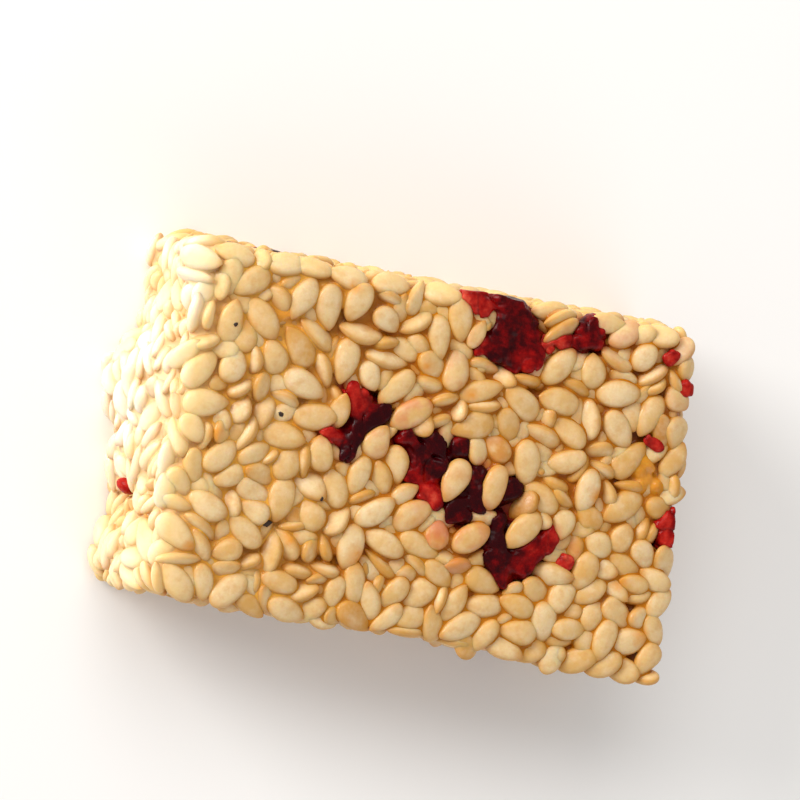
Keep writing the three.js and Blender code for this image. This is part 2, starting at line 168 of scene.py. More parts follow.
# The shown face's seeds: x, y, turn of the pointed end, length, width, lift of the top over the
# face, lean about the length, shade (0 pale to 2 dark), pink stain
PLACED = [
    (-21.07, 10.67, -4, 3.38, 1.78, 0.13, 65, 0, 0), (-20.94, 12.11, -4, 3.81, 2.36, 0.07, 0, 0, 0), (-19.93, -6.47, -4, 2.96, 1.78, 0.11, 44, 0, 0),
    (-19.2, -8.62, -32, 3.75, 2.12, 0.12, 0, 0, 0), (-19.16, 3.98, 54, 3.62, 2.48, 0.07, 0, 0, 0), (-19.11, -0.61, -47, 2.45, 1.82, 0.14, 0, 0, 0),
    (-19.01, 6.08, 24, 2.49, 1.78, 0.1, -63, 0, 0), (-18.95, 8.06, 86, 2.36, 1.78, 0.1, 58, 0, 0), (-18.61, -10.64, 10, 3.79, 1.78, 0.12, 64, 0, 0),
    (-18.52, 10.41, -78, 2.37, 1.78, 0.03, 37, 0, 0), (-18.3, 1.45, 10, 3.79, 2.37, 0.12, 0, 0, 0), (-18.14, -1.1, -94, 2.36, 1.78, 0.04, 58, 0, 0),
    (-17.6, 13.2, 176, 3.81, 2.08, -0.02, 0, 0, 0), (-17.34, -7.94, -32, 3.33, 1.78, 0.09, 63, 0, 0), (-17.28, 7.85, 86, 3.55, 2.23, -0.03, 0, 1, 0),
    (-17.01, -6.21, -18, 3.37, 2.09, 0.09, 0, 0, 0), (-16.66, 4.67, 86, 2.76, 2.23, 0.06, 0, 0, 0), (-16.64, -0.28, 86, 2.36, 1.78, -0.02, 36, 1, 0),
    (-16.12, 11.08, -141, 3.28, 2.15, -0.07, 0, 1, 0), (-15.68, 3.12, 39, 2.45, 1.78, 0.02, -62, 0, 0), (-15.49, 1.44, 70, 2.37, 1.78, 0.04, -37, 0, 0),
    (-15.33, 13.45, 86, 2.36, 1.78, -0.03, -36, 0, 0), (-15.03, 5.41, 102, 2.37, 1.78, 0.09, -59, 0, 0), (-15, -9.3, -156, 2.49, 1.79, 0.06, 0, 1, 0),
    (-14.85, -0.32, -110, 3.17, 1.78, 0.05, 59, 0, 0), (-14.76, 8.49, -47, 3.69, 2.44, -0, 0, 2, 0), (-14.07, 3.41, -94, 2.36, 1.78, 0.01, -36, 1, 0),
    (-13.79, -7.62, 148, 3.33, 1.79, 0.01, 0, 1, 0), (-13.66, 10.15, -47, 2.45, 1.78, 0, 41, 1, 0), (-13.45, 5.84, 118, 2.82, 2.19, 0.03, 0, 1, 0),
    (-13.31, 13.14, 10, 3.79, 2.37, 0.01, 0, 0, 0), (-13.27, -5.96, 162, 2.52, 1.77, -0, 0, 0, 0), (-13.2, -9.89, -141, 2.45, 1.78, -0.06, 62, 2, 0),
    (-12.1, 2.79, 162, 2.52, 1.78, 0.04, -64, 0, 0), (-11.84, 0.05, -4, 3.81, 2.36, -0.03, 0, 1, 0), (-11.8, 10.58, -110, 3.57, 1.88, 0.02, 0, 0, 0),
    (-11.57, 6.93, 133, 3.69, 2.15, -0.07, 0, 2, 0), (-11.42, -8.82, 86, 3.55, 1.78, -0.08, -36, 1, 0), (-11.26, -4.75, -94, 3.55, 2.23, -0.03, 0, 1, 0),
    (-11.15, 13.12, -4, 3.38, 1.77, -0.02, 0, 0, 0), (-10.76, 4.14, -18, 3.79, 2.09, 0.09, 0, 0, 0), (-10.34, -8.07, 133, 2.86, 1.78, -0.01, -40, 1, 0),
    (-10.2, 8.13, 148, 3.75, 1.78, 0.01, 42, 1, 0), (-9.94, -6.39, -156, 2.49, 1.78, -0.08, 63, 2, 0), (-9.58, 10.31, -78, 3.57, 2.22, 0.05, 0, 0, 0),
    (-9.43, 1.94, 10, 3.79, 2.09, -0.02, 0, 1, 0), (-9.32, 5.5, -62, 2.81, 1.78, 0.09, 60, 0, 0), (-9.1, -9.83, 176, 2.53, 1.78, 0.01, 65, 1, 0),
    (-8.74, -5.42, 118, 2.82, 2.19, -0.05, 0, 1, 0), (-8.59, -0.74, 102, 2.77, 2.22, 0.03, 0, 1, 0), (-8.35, 12.95, 176, 3.81, 2.08, -0, 0, 0, 0),
    (-8.25, -7.96, 70, 2.37, 1.78, -0.04, 37, 2, 0), (-7.97, 3.46, -62, 2.41, 1.78, -0.16, 60, 2, 0), (-7.69, 6.5, -94, 3.55, 2.23, 0.09, 0, 0, 0),
    (-7.37, 11.1, -110, 3.17, 2.52, 0.14, 0, 0, 0), (-7.07, -7.65, 118, 2.41, 1.78, -0.09, 60, 2, 0), (-6.88, -9.34, 176, 2.53, 1.78, -0, 65, 1, 0),
    (-6.74, 8.89, 176, 3.81, 1.78, 0.1, 44, 0, 0), (-6.55, -5.54, 54, 2.81, 1.78, 0.02, -38, 1, 0), (-5.53, 5.76, -62, 2.41, 1.85, 0.01, 0, 0, 0),
    (-5.24, -7.38, -94, 3.55, 2.23, 0.03, 0, 0, 0), (-4.85, 10.18, -32, 2.49, 1.79, 0.08, 0, 0, 0), (-4.73, 13.23, 10, 3.79, 2.37, -0.02, 0, 0, 0),
    (-4.7, 11.77, -18, 2.52, 1.78, 0.06, 64, 0, 0), (-4.7, -3.55, -156, 2.49, 1.78, -0.09, -63, 2, 0), (-4.5, 8.57, 10, 2.52, 1.78, -0.05, -64, 2, 0),
    (-4.34, 7.29, -4, 3.81, 1.78, 0.05, -44, 0, 0), (-4.24, 0.93, 70, 2.77, 2.22, 0.1, 0, 1, 0.14), (-3.61, -4.37, 39, 3.68, 1.82, 0.05, 0, 0, 0),
    (-3.3, 5.19, -126, 3.62, 1.86, 0, 0, 1, 0), (-2.64, -6.62, 162, 3.79, 1.77, -0.01, 0, 1, 0), (-2.55, 12.61, 70, 3.17, 1.78, -0.1, 37, 0, 0),
    (-2.52, -8.22, 148, 3.33, 1.78, -0.05, 63, 2, 0), (-2.46, 10.4, -141, 2.86, 1.78, 0.04, 40, 1, 0), (-1.9, 8.52, -47, 2.45, 1.78, -0.05, 41, 1, 0),
    (-1.85, 3.43, -141, 3.69, 2.44, 0.1, 0, 2, 0.28), (-0.79, 5.84, 176, 2.53, 1.78, -0.02, -44, 0, 0), (-0.53, -4.08, 39, 3.69, 2.44, -0.01, 0, 1, 0.12),
    (-0.44, 13.13, -4, 3.81, 2.36, -0.01, 0, 0, 0), (-0.39, 9.6, -78, 3.57, 1.88, 0.04, 0, 0, 0), (0.29, -7.93, -32, 2.49, 1.78, -0, 63, 1, 0),
    (0.34, -6.4, -18, 3.79, 1.77, 0.01, 0, 1, 0), (0.43, 3.17, -156, 2.49, 1.78, -0.07, -63, 1, 0), (0.81, 4.9, -156, 2.49, 1.78, 0.01, -63, 1, 0),
    (1.13, 11.33, -78, 3.57, 1.88, 0.04, 0, 1, 0), (1.34, 7.52, 86, 3.55, 2.23, -0.02, 0, 1, 0.14), (1.62, -5.27, 86, 2.36, 1.89, 0, 0, 2, 0.4),
    (2.38, -0.94, -110, 3.57, 2.52, 0.26, 0, 1, 0.1), (2.62, 10.43, 70, 2.37, 1.25, 0.04, 0, 2, 0.1), (3.29, 3.42, -156, 3.75, 2.4, -0.06, 0, 2, 0),
    (3.55, -7.51, -170, 2.52, 1.78, 0.05, -44, 2, 0.22), (3.59, 5.09, 10, 3.79, 1.78, 0.02, -64, 1, 0), (3.63, 6.16, 24, 3.75, 1.79, -0.02, 0, 1, 0),
    (3.67, 8.03, -4, 2.53, 1.78, -0.19, 44, 2, 0.16), (4.33, -5.05, 39, 3.28, 2.43, 0.26, 0, 2, 0.2), (5.63, 2.11, 148, 2.49, 1.79, -0.13, 0, 2, 0.14),
    (5.67, -0.92, -94, 3.55, 2.53, 0.30, 0, 1, 0.06), (6.25, 3.99, -62, 2.81, 1.86, -0.17, 0, 2, 0), (7.16, 5.86, 148, 3.75, 2.12, -0.09, 0, 2, 0),
    (7.23, 7.55, 176, 2.53, 1.78, -0.05, -65, 2, 0), (8.16, 1.39, -78, 3.57, 2.22, -0.04, 0, 1, 0), (8.44, -3.77, -126, 3.62, 2.48, 0.34, 0, 1, 0.02),
    (8.64, 13.4, -170, 3.79, 1.78, -0.01, -44, 0, 0), (9.03, 3.66, 162, 3.37, 1.78, -0.07, -44, 1, 0), (9.58, 11.8, -141, 3.27, 1.78, 0.08, -40, 2, 0.22),
    (9.65, -1.08, 148, 3.33, 2.11, -0.02, 0, 1, 0), (9.8, 9.21, 54, 3.62, 2.19, -0.03, 0, 1, 0), (10.1, 6.53, 176, 3.38, 2.08, -0.02, 0, 1, 0),
    (10.76, 0.33, 162, 2.52, 1.78, -0.06, 64, 2, 0), (11.22, 4.3, 148, 3.33, 1.79, -0.02, 0, 1, 0), (11.32, 2.04, -156, 3.33, 1.79, -0, 0, 0, 0),
    (11.47, 7.73, -18, 2.52, 1.78, -0.05, 64, 2, 0), (11.56, -0.64, -32, 2.49, 1.78, -0.01, -63, 2, 0), (11.8, -2.78, -94, 2.36, 1.89, 0.05, 0, 0, 0),
    (12.6, 9.29, 102, 2.77, 2.22, -0.03, 0, 1, 0), (12.85, 5.55, 102, 3.17, 1.78, 0.08, -37, 0, 0), (12.92, -4.5, -78, 2.37, 1.78, -0.22, 37, 2, 0.2),
    (13.36, 0.07, -94, 3.55, 1.89, 0.12, 0, 0, 0), (13.84, 13.66, -170, 2.52, 1.78, -0.04, -64, 0, 0.25), (13.87, -1.86, 148, 2.49, 1.79, -0.08, 0, 2, 0),
    (13.93, 3.26, -170, 2.52, 1.78, -0.05, -44, 1, 0), (14.38, 1.87, 162, 2.52, 1.78, -0.06, -64, 1, 0), (14.5, 10.54, 162, 2.94, 1.78, 0.01, 44, 1, 0.08),
    (14.88, -3.8, 148, 2.49, 1.79, -0.02, 0, 1, 0), (14.93, 12.84, -141, 3.28, 2.15, -0.1, 0, 0, 0.22), (14.99, 7.95, 10, 3.79, 2.37, 0.06, 0, 0, 0),
    (15.09, 0.33, 118, 2.41, 1.78, 0.01, -60, 1, 0), (15.3, 5.22, -47, 3.28, 2.43, 0.05, 0, 0, 0), (16.48, -0.64, -141, 3.69, 2.44, 0, 0, 2, 0),
    (16.55, 3.11, 54, 3.62, 2.19, -0.05, 0, 2, 0), (16.72, 11.03, -126, 2.41, 1.85, 0.03, 0, 0, 0), (16.76, -2.97, 70, 2.37, 1.88, -0.04, 0, 1, 0),
    (16.9, 0.95, 176, 2.53, 1.78, -0.05, -65, 2, 0), (17.61, 9.87, 39, 2.86, 1.78, 0.03, -61, 0, 0.08), (17.75, 8.98, -141, 2.45, 1.78, -0.02, 62, 1, 0),
    (17.79, 6.72, -110, 3.57, 1.88, -0.01, 0, 1, 0), (17.86, 13.3, 176, 3.81, 2.36, 0.01, 0, 0, 0), (18.34, -1.98, 70, 2.37, 1.78, -0.23, -59, 2, 0),
    (19.42, -2.25, 70, 2.37, 1.78, -0.23, 59, 2, 0), (19.71, 9.68, 133, 2.45, 1.78, -0.03, 62, 1, 0), (19.86, 12.03, -126, 2.81, 1.78, -0.1, 35, 0, 0.15),
    (19.93, 8.36, -32, 2.49, 1.79, -0.03, 0, 1, 0.1), (19.96, -0.18, -4, 2.96, 1.77, -0.24, 0, 2, 0), (20.21, 5.78, -94, 2.76, 2.23, -0.04, 0, 1, 0),
    (20.67, 10.76, -78, 2.37, 1.88, 0.01, 0, 1, 0), (21.24, 3.23, -78, 2.77, 1.78, -0.07, 59, 2, 0),
]  # fmt: skip

# scorched specks on the shown face: x, y, half sizes
SPECKS = [(-16.98, 7.70, 0.20, 0.15), (-12.24, 1.65, 0.24, 0.18), (-12.10, -6.70, 0.46, 0.26), (-8.20, -4.11, 0.20, 0.16)]


def hashed(i, j, k, s):
    """Repeatable numbers from 0 to 1 for whole-number places."""
    h = (
        i.astype(np.int64) * 374761393
        + j.astype(np.int64) * 668265263
        + k.astype(np.int64) * 1442695041
        + s * 1274126177
    ) & 0xFFFFFFFF
    h = ((h ^ (h >> 13)) * 1103515245) & 0xFFFFFFFF
    h = ((h ^ (h >> 16)) * 2246822519) & 0xFFFFFFFF
    return (h ^ (h >> 15)) / 4294967296.0


def noise(p, s):
    """Smooth value noise from -1 to 1 at points p of shape (n, 3)."""
    base = np.floor(p)
    f = p - base
    f = f * f * (3 - 2 * f)
    out = np.zeros(len(p))
    for a in (0, 1):
        for b in (0, 1):
            for c in (0, 1):
                w = (
                    (f[:, 0] if a else 1 - f[:, 0])
                    * (f[:, 1] if b else 1 - f[:, 1])
                    * (f[:, 2] if c else 1 - f[:, 2])
                )
                out += w * hashed(base[:, 0] + a, base[:, 1] + b, base[:, 2] + c, s)
    return 2 * out - 1


def to_row(p):
    """From the straight block's place to the real one: the ends run a little off square."""
    q = np.array(p, float)
    t = 0.5 - q[..., 1] / WIDTH
    k = (q[..., 0] + LENGTH / 2) / LENGTH
    q[..., 0] += t * WIDTH * (SKEW_LEFT + k * (SKEW_RIGHT - SKEW_LEFT))
    return q + SHIFT


# ---------------------------------------------------------------------------
# Packing the seeds
# ---------------------------------------------------------------------------
# how far the broken end stands out of the straight block, from its near corner to its far one
END_Y = [-13.5, -11.2, -9.5, -7.7, -5.8, -4.0, -2.5, -1.1, 0.1, 2.0, 4.2, 5.2, 7.6, 10.6, 12.5, 13.5]
END_OUT = [0.3, 0.9, 0.2, -0.5, 0.6, 1.4, 1.1, 0.8, 1.6, 2.1, 1.7, 0.3, 0.0, -0.7, -0.9, -0.9]


def ragged(p):
    """How far the seeds may stand out of the straight block here, in millimetres."""
    n = np.maximum(np.abs(p - [0, 0, HALF[2]]) - (HALF - 1.5), 0)
    side = np.hypot(n[:, 0], n[:, 1]) / np.maximum(np.linalg.norm(n, axis=1), 1e-9)
    left = np.clip(-p[:, 0] - HALF[0] + 2.5, 0, 1)
    low = np.clip((10.5 - p[:, 2]) / 5, 0, 1)
    wave = noise(p / [5.2, 4.6, 4.2], 31) + 0.6 * noise(p / [2.3, 2.3, 1.9], 32)
    out = side * (0.10 + 0.34 * wave)
    out += left * side * (0.25 * wave + low * np.interp(p[:, 1], END_Y, END_OUT) - 0.25 * (1 - low))
    out += 0.22 * side * np.clip(p[:, 0] - HALF[0] + 2.0, 0, 1)
    top = np.clip(1 - side, 0, 1)
    return out + top * 0.07 * noise(p / [6.3, 5.1, 9.0], 33)


def near_pairs(place, owner, reach):
    """Index pairs of spheres of different seeds that are closer than reach."""
    cell = np.floor((place - place.min(0)) / reach).astype(np.int64) + 1
    d1, d2 = cell[:, 1].max() + 3, cell[:, 2].max() + 3
    key = (cell[:, 0] * d1 + cell[:, 1]) * d2 + cell[:, 2]
    order = np.argsort(key, kind="stable")
    sk = key[order]
    n = len(sk)
    first, second = [], []
    for dx, dy, dz in [
        (0, 0, 0), (0, 0, 1), (0, 1, -1), (0, 1, 0), (0, 1, 1),
        (1, -1, -1), (1, -1, 0), (1, -1, 1), (1, 0, -1), (1, 0, 0), (1, 0, 1),
        (1, 1, -1), (1, 1, 0), (1, 1, 1),
    ]:  # fmt: skip
        off = (dx * d1 + dy) * d2 + dz
        if off == 0:
            lo = np.arange(n) + 1
        else:
            lo = np.searchsorted(sk, sk + off, "left")
        hi = np.searchsorted(sk, sk + off, "right")
        count = np.maximum(hi - lo, 0)
        i = np.repeat(np.arange(n), count)
        j = np.arange(count.sum()) - np.repeat(np.cumsum(count) - count, count) + np.repeat(lo, count)
        a, b = order[i], order[j]
        keep = owner[a] != owner[b]
        a, b = a[keep], b[keep]
        gap = place[a] - place[b]
        keep = np.einsum("ij,ij->i", gap, gap) < reach * reach
        first.append(a[keep])
        second.append(b[keep])
    return np.concatenate(first), np.concatenate(second)


def turned(axis_angle):
    """Rotation matrices of small turns, shape (n, 3) to (n, 3, 3)."""
    a = np.linalg.norm(axis_angle, axis=1)
    u = axis_angle / np.maximum(a, 1e-12)[:, None]
    c, s = np.cos(a), np.sin(a)
    k = np.zeros((len(a), 3, 3))
    k[:, 0, 1], k[:, 0, 2] = -u[:, 2], u[:, 1]
    k[:, 1, 0], k[:, 1, 2] = u[:, 2], -u[:, 0]
    k[:, 2, 0], k[:, 2, 1] = -u[:, 1], u[:, 0]
    return np.eye(3) + s[:, None, None] * k + (1 - c)[:, None, None] * (k @ k)


def leaning(rng, lean):
    """Random seeds' rotations: any way round, each leaning as told from flat side up."""
    n = len(lean)
    zero = np.zeros(n)
    spin = turned(np.stack([zero, zero, rng.uniform(0, TAU, n)], 1))
    # a seed that leans far does so about its own length
    roll = np.where(lean > 0.7, 0.0, rng.uniform(0, TAU, n)) + np.where(rng.random(n) < 0.5, 0.0, math.pi)
    tip = turned(np.stack([np.cos(roll) * lean, np.sin(roll) * lean, zero], 1))
    over = turned(np.stack([np.where(rng.random(n) < 0.5, 0.0, math.pi), zero, zero], 1))
    return spin @ tip @ over


# places of a seed's spheres, as shares of its half length and half width, and their size
BALLS = np.array([
    (-0.69, 0.0, 0.96), (-0.46, 0.42, 0.96), (-0.46, -0.42, 0.96), (-0.14, 0.54, 0.98), (-0.14, -0.54, 0.98),
    (0.24, 0.38, 0.92), (0.24, -0.38, 0.92), (0.50, 0.0, 0.88), (0.78, 0.0, 0.62),
])  # fmt: skip


def pack_seeds(rng, steps):
    n_top, n_bottom, n_free = 104, 245, 1560
    put = np.array(PLACED)
    n = n_top + n_bottom + n_free + len(put)
    kind = np.repeat([0, 1, 2, 3], [n_top, n_bottom, n_free, len(put)])
    length = np.clip(rng.normal(3.20, 0.27, n), 2.45, 3.85)
    width = length * np.clip(rng.normal(0.590, 0.045, n), 0.49, 0.70)
    height = width * np.clip(rng.normal(0.53, 0.045, n), 0.42, 0.64)
    length[kind == 3] = np.minimum(put[:, 3] + 0.10, 3.75)
    width[kind == 3] = np.minimum(put[:, 4] + 0.12, 2.20)
    height[kind == 3] = np.clip(put[:, 4] * 0.56, 0.5, 1.08)
    off = np.zeros((n, len(BALLS), 3))
    off[:, :, 0] = BALLS[:, 0] * (length / 2)[:, None]
    off[:, :, 1] = BALLS[:, 1] * (width / 2)[:, None]
    rad = BALLS[:, 2] * (height / 2)[:, None]
    # most pressed seeds lie flat, some lean and a few stand on edge
    lot = rng.random(n)
    lean0 = np.where(lot < 0.58, np.abs(rng.normal(0, 6, n)), np.where(lot < 0.87, rng.uniform(12, 34, n), rng.uniform(50, 80, n)))
    lean0 = np.where(kind == 2, np.abs(rng.normal(0, 27, n)), lean0)
    limit = np.radians(np.where(kind == 2, 55.0, lean0 + 2.0))
    rot = leaning(rng, np.radians(lean0))
    proud = np.where(kind == 0, np.abs(rng.normal(0, 0.15, n)), np.where(rng.random(n) < 0.35, 0.0, rng.uniform(0, 0.16, n)))
    inner = np.array([HALF[0] - 2.9, HALF[1] - 2.9, HALF[2] - 2.7])
    pos = np.zeros((n, 3))
    # free seeds start anywhere in the shell, also where the end bulges
    some = np.zeros((0, 3))
    while len(some) < n_free:
        more = rng.uniform(-1, 1, (n_free * 4, 3)) * (HALF + [2.5, 0.5, 0])
        stand = ragged(more + [0, 0, HALF[2]])
        shell = (np.abs(more) > inner + 0.3).any(1) & (np.abs(more[:, 2]) < HALF[2] - 1.3)
        shell &= (np.abs(more[:, :2]) < (HALF[:2] - 0.7) + stand[:, None]).all(1)
        some = np.concatenate([some, more[shell]])[:n_free]
    pos[kind == 2] = some + [0, 0, HALF[2]]
    # the rest of the shown face's seeds start in the widest free spots
    taken = np.concatenate([
        put[:, :2] + k * (put[:, 3] * 0.3)[:, None] * np.column_stack([np.cos(np.radians(put[:, 2])), np.sin(np.radians(put[:, 2]))])
        for k in (-1, 0, 1)
    ])  # fmt: skip
    taken = np.column_stack([taken, np.full(len(taken), 0.35)])
    spots = np.array([(x, y, size * 0.8) for row in BERRIES for x, y, z, size, _ in lobes_of(row) if z > THICK - 2])
    spots = np.concatenate([spots, [(bit[0], bit[1], 0.5) for bit in BITS]])
    taken = np.concatenate([taken, spots, [(18.9, 2.26, 1.0)]])
    trial = rng.uniform(-1, 1, (6000, 2)) * (HALF[:2] - 0.9)
    room = np.min(np.linalg.norm(trial[:, None] - taken[None, :, :2], axis=2) - taken[None, :, 2], axis=1)
    free = []
    for _ in range(n_top):
        k = int(np.argmax(room))
        free.append(trial[k])
        room = np.minimum(room, np.linalg.norm(trial - trial[k], axis=1) - 0.45)
    pos[kind == 0] = np.column_stack([free, np.full(n_top, THICK - 0.6)])
    # the lower pressed layer starts on a jittered grid
    for which, z in ((1, 0.6),):
        count = (kind == which).sum()
        nx = int(round(math.sqrt(count * LENGTH / WIDTH)))
        ny = int(math.ceil(count / nx))
        grid = np.array([((i + 0.5) / nx, (j + 0.5) / ny) for i in range(nx) for j in range(ny)])
        grid = grid[rng.permutation(len(grid))[:count]]
        spot = (grid - 0.5) * [LENGTH - 1.6, WIDTH - 1.6] + rng.normal(0, 0.35, (count, 2))
        pos[kind == which] = np.column_stack([spot, np.full(count, z)])
    set_ = kind == 3
    pos[set_, :2] = put[:, :2]
    lean_ = np.radians(put[:, 6])
    pitch = rng.normal(0, math.radians(5), len(put))
    reach = np.hypot(height[set_] / 2 * np.cos(lean_), width[set_] / 2 * np.sin(lean_))
    pos[set_, 2] = THICK + put[:, 5] - reach
    zero = np.zeros(len(put))
    angle = np.radians(put[:, 2])
    tips = np.tile(np.eye(3), (len(put), 1, 1))
    leant = np.zeros(len(put))
    for outward in ((0, 1), (1, 0), (-1, 0)):
        o = np.array(outward, float)
        edge = HALF[:2] @ np.abs(o) + (0.25 if outward == (1, 0) else 0.05) - put[:, :2] @ o
        near_ = np.clip((1.7 - edge) / 1.5, 0, 1) * (1 - leant)
        leant = np.maximum(leant, near_)
        along_ = np.abs(np.cos(angle) * o[0] + np.sin(angle) * o[1])
        across_ = np.sqrt(1 - along_**2)
        length[set_] *= 1 - 0.10 * near_
        width[set_] *= 1 - 0.12 * near_
        tip_ = near_ * math.radians(38)
        reach_ = np.hypot(along_ * length[set_] / 2, across_ * width[set_] / 2 * np.cos(lean_)) * np.cos(tip_)
        pos[set_, :2] -= o * np.clip(reach_ - edge - 0.12, 0, 0.7)[:, None]
        pos[set_, 2] -= 0.42 * near_**2
        tips = turned(np.column_stack([-o[1] * tip_, o[0] * tip_, zero])) @ tips
    rot[set_] = (
        tips
        @ turned(np.column_stack([zero, zero, angle]))
        @ turned(np.column_stack([zero, pitch, zero]))
        @ turned(np.column_stack([lean_, zero, zero]))
    )
    held = pos[set_].copy(), rot[set_].copy()
    lobes = np.concatenate([lobes_of(row) for row in BERRIES] + [[(18.9, 2.26, THICK - 1.0, 1.0, 0)]])
    lobes = np.concatenate([lobes, [(bit[0], bit[1], bit[2], 0.55, 0) for bit in BITS]])
    owner = np.repeat(np.arange(n), len(BALLS))
    centre = np.array([0, 0, HALF[2]])
    pairs = None
    for step in range(steps):
        grow = min(1.0, 0.70 + 0.30 * step / (0.45 * steps))
        arm = np.einsum("nij,nsj->nsi", rot, off * grow)
        ball = (pos[:, None] + arm).reshape(-1, 3)
        r = (rad * grow).ravel()
        if step % 4 == 0:
            pairs = near_pairs(ball, owner, 1.34)
            gap2 = (ball**2).sum(1)[:, None] - 2 * ball @ lobes[:, :3].T + (lobes[:, :3] ** 2).sum(1)[None]
            by_ball, by_lobe = np.nonzero(gap2 < (lobes[:, 3] + 1.1) ** 2)
        a, b = pairs
        d = ball[b] - ball[a]
        far = np.linalg.norm(d, axis=1)
        over = r[a] + r[b] - far
        hit = over > 0
        a_, b_ = a[hit], b[hit]
        push = d[hit] / np.maximum(far[hit], 1e-6)[:, None] * (0.5 * over[hit])[:, None]
        moved = np.zeros_like(ball)
        times = np.zeros(len(ball))
        for c in range(3):
            moved[:, c] = np.bincount(b_, push[:, c], len(ball)) - np.bincount(a_, push[:, c], len(ball))
        times += np.bincount(a_, minlength=len(ball)) + np.bincount(b_, minlength=len(ball))
        # the block's outline
        loose = ragged(ball)
        q = np.abs(ball - centre) - (HALF - EDGE)
        m = np.maximum(q, 0)
        long_ = np.linalg.norm(m, axis=1)
        out = long_ + np.minimum(q.max(1), 0) - EDGE + r - loose
        wall = (out > 0) & (long_ > 1e-6)
        way = np.sign(ball - centre) * m / np.maximum(long_, 1e-9)[:, None]
        moved[wall] -= way[wall] * out[wall][:, None]
        times[wall] += 1
        # the middle, which no one sees
        q = (inner + r[:, None]) - np.abs(ball - centre)
        in_ = (q > 0).all(1)
        axis = q[in_].argmin(1)
        idx = np.nonzero(in_)[0]
        moved[idx, axis] += np.sign(ball[idx, axis] - centre[axis]) * q[idx, axis] * 0.5
        times[idx] += 1
        # the cranberry pieces
        rel = ball[by_ball] - lobes[by_lobe, :3]
        far_ = np.linalg.norm(rel, axis=1)
        depth = lobes[by_lobe, 3] + r[by_ball] + 0.10 - far_
        inb = depth > 0
        g = rel[inb] / np.maximum(far_[inb], 1e-9)[:, None]
        g[:, 2] *= 0.35  # out of the way sideways rather than down
        g *= depth[inb][:, None]
        for c in range(3):
            moved[:, c] += np.bincount(by_ball[inb], g[:, c], len(ball))
        times += np.bincount(by_ball[inb], minlength=len(ball))
        # each seed answers as one rigid body
        moved = moved.reshape(n, -1, 3)
        touch = times.reshape(n, -1).sum(1)
        share = 1.7 / np.maximum(touch, 1)
        pos += moved.sum(1) * share[:, None]
        torque = np.cross(arm, moved).sum(1)
        turn_ = torque * (share / 0.85)[:, None]
        size_ = np.linalg.norm(turn_, axis=1)
        turn_ *= np.minimum(1, 0.12 / np.maximum(size_, 1e-9))[:, None]
        # lean no further than each may
        up = rot[:, :, 2] * np.sign(rot[:, 2, 2])[:, None]
        lean = np.arccos(np.clip(up[:, 2], -1, 1))
        back = np.cross(up, [0.0, 0.0, 1.0])
        back /= np.maximum(np.linalg.norm(back, axis=1), 1e-9)[:, None]
        turn_ += back * (np.maximum(lean - limit, 0) * 0.35)[:, None]
        rot = turned(turn_) @ rot
        if step % 20 == 19:
            u, _, v = np.linalg.svd(rot)
            rot = u @ v
        # the pressed layers are drawn to their faces
        tall = (ball[:, 2].reshape(n, -1) + r.reshape(n, -1)).max(1)
        low = (ball[:, 2].reshape(n, -1) - r.reshape(n, -1)).min(1)
        top, bottom = kind == 0, kind == 1
        pos[top, 2] += 0.4 * (THICK - proud[top] - tall[top])
        pos[bottom, 2] -= 0.4 * (low[bottom] - proud[bottom])
        pos[set_], rot[set_] = held
    print(f"packed {n} seeds, mean overlap {over[hit].mean():.3f} mm, largest {over[hit].max():.2f} mm")
    stain = np.zeros(n)
    stain[set_] = put[:, 8]
    shade = np.full(n, -1)
    shade[set_] = put[:, 7]
    on = np.zeros(n, bool)
    for x, y, z, size, _ in lobes:
        flat_ = np.hypot(pos[:, 0] - x, pos[:, 1] - y)
        on |= (flat_ < size * 0.86) & (pos[:, 2] > z - 0.3) & (z > THICK - 2.0)
    stay = ~on | set_
    print(f"{(~stay).sum()} seeds taken off the cranberry pieces")
    high = stay & (pos[:, 2] > THICK - 1.25)
    axis = rot[high][:, :2, 0]
    half_l = length[high] / 2 * np.linalg.norm(axis, axis=1)
    axis /= np.linalg.norm(axis, axis=1)[:, None]
    half_w = np.hypot(width[high] / 2 * np.abs(rot[high][:, 2, 2]), height[high] / 2 * np.sqrt(np.maximum(1 - rot[high][:, 2, 2] ** 2, 0)))
    feet = pos[high][:, :2]
    trial = rng.uniform(-1, 1, (16000, 2)) * (HALF[:2] - 0.35)

    def clear(points, feet, axis, half_l, half_w):
        rel = points[:, None] - feet[None]
        u = (rel * axis[None]).sum(2) / half_l
        v = (rel[..., 0] * axis[None, :, 1] - rel[..., 1] * axis[None, :, 0]) / half_w
        return ((np.sqrt(u**2 + v**2) - 1) * half_w[None]).min(1)

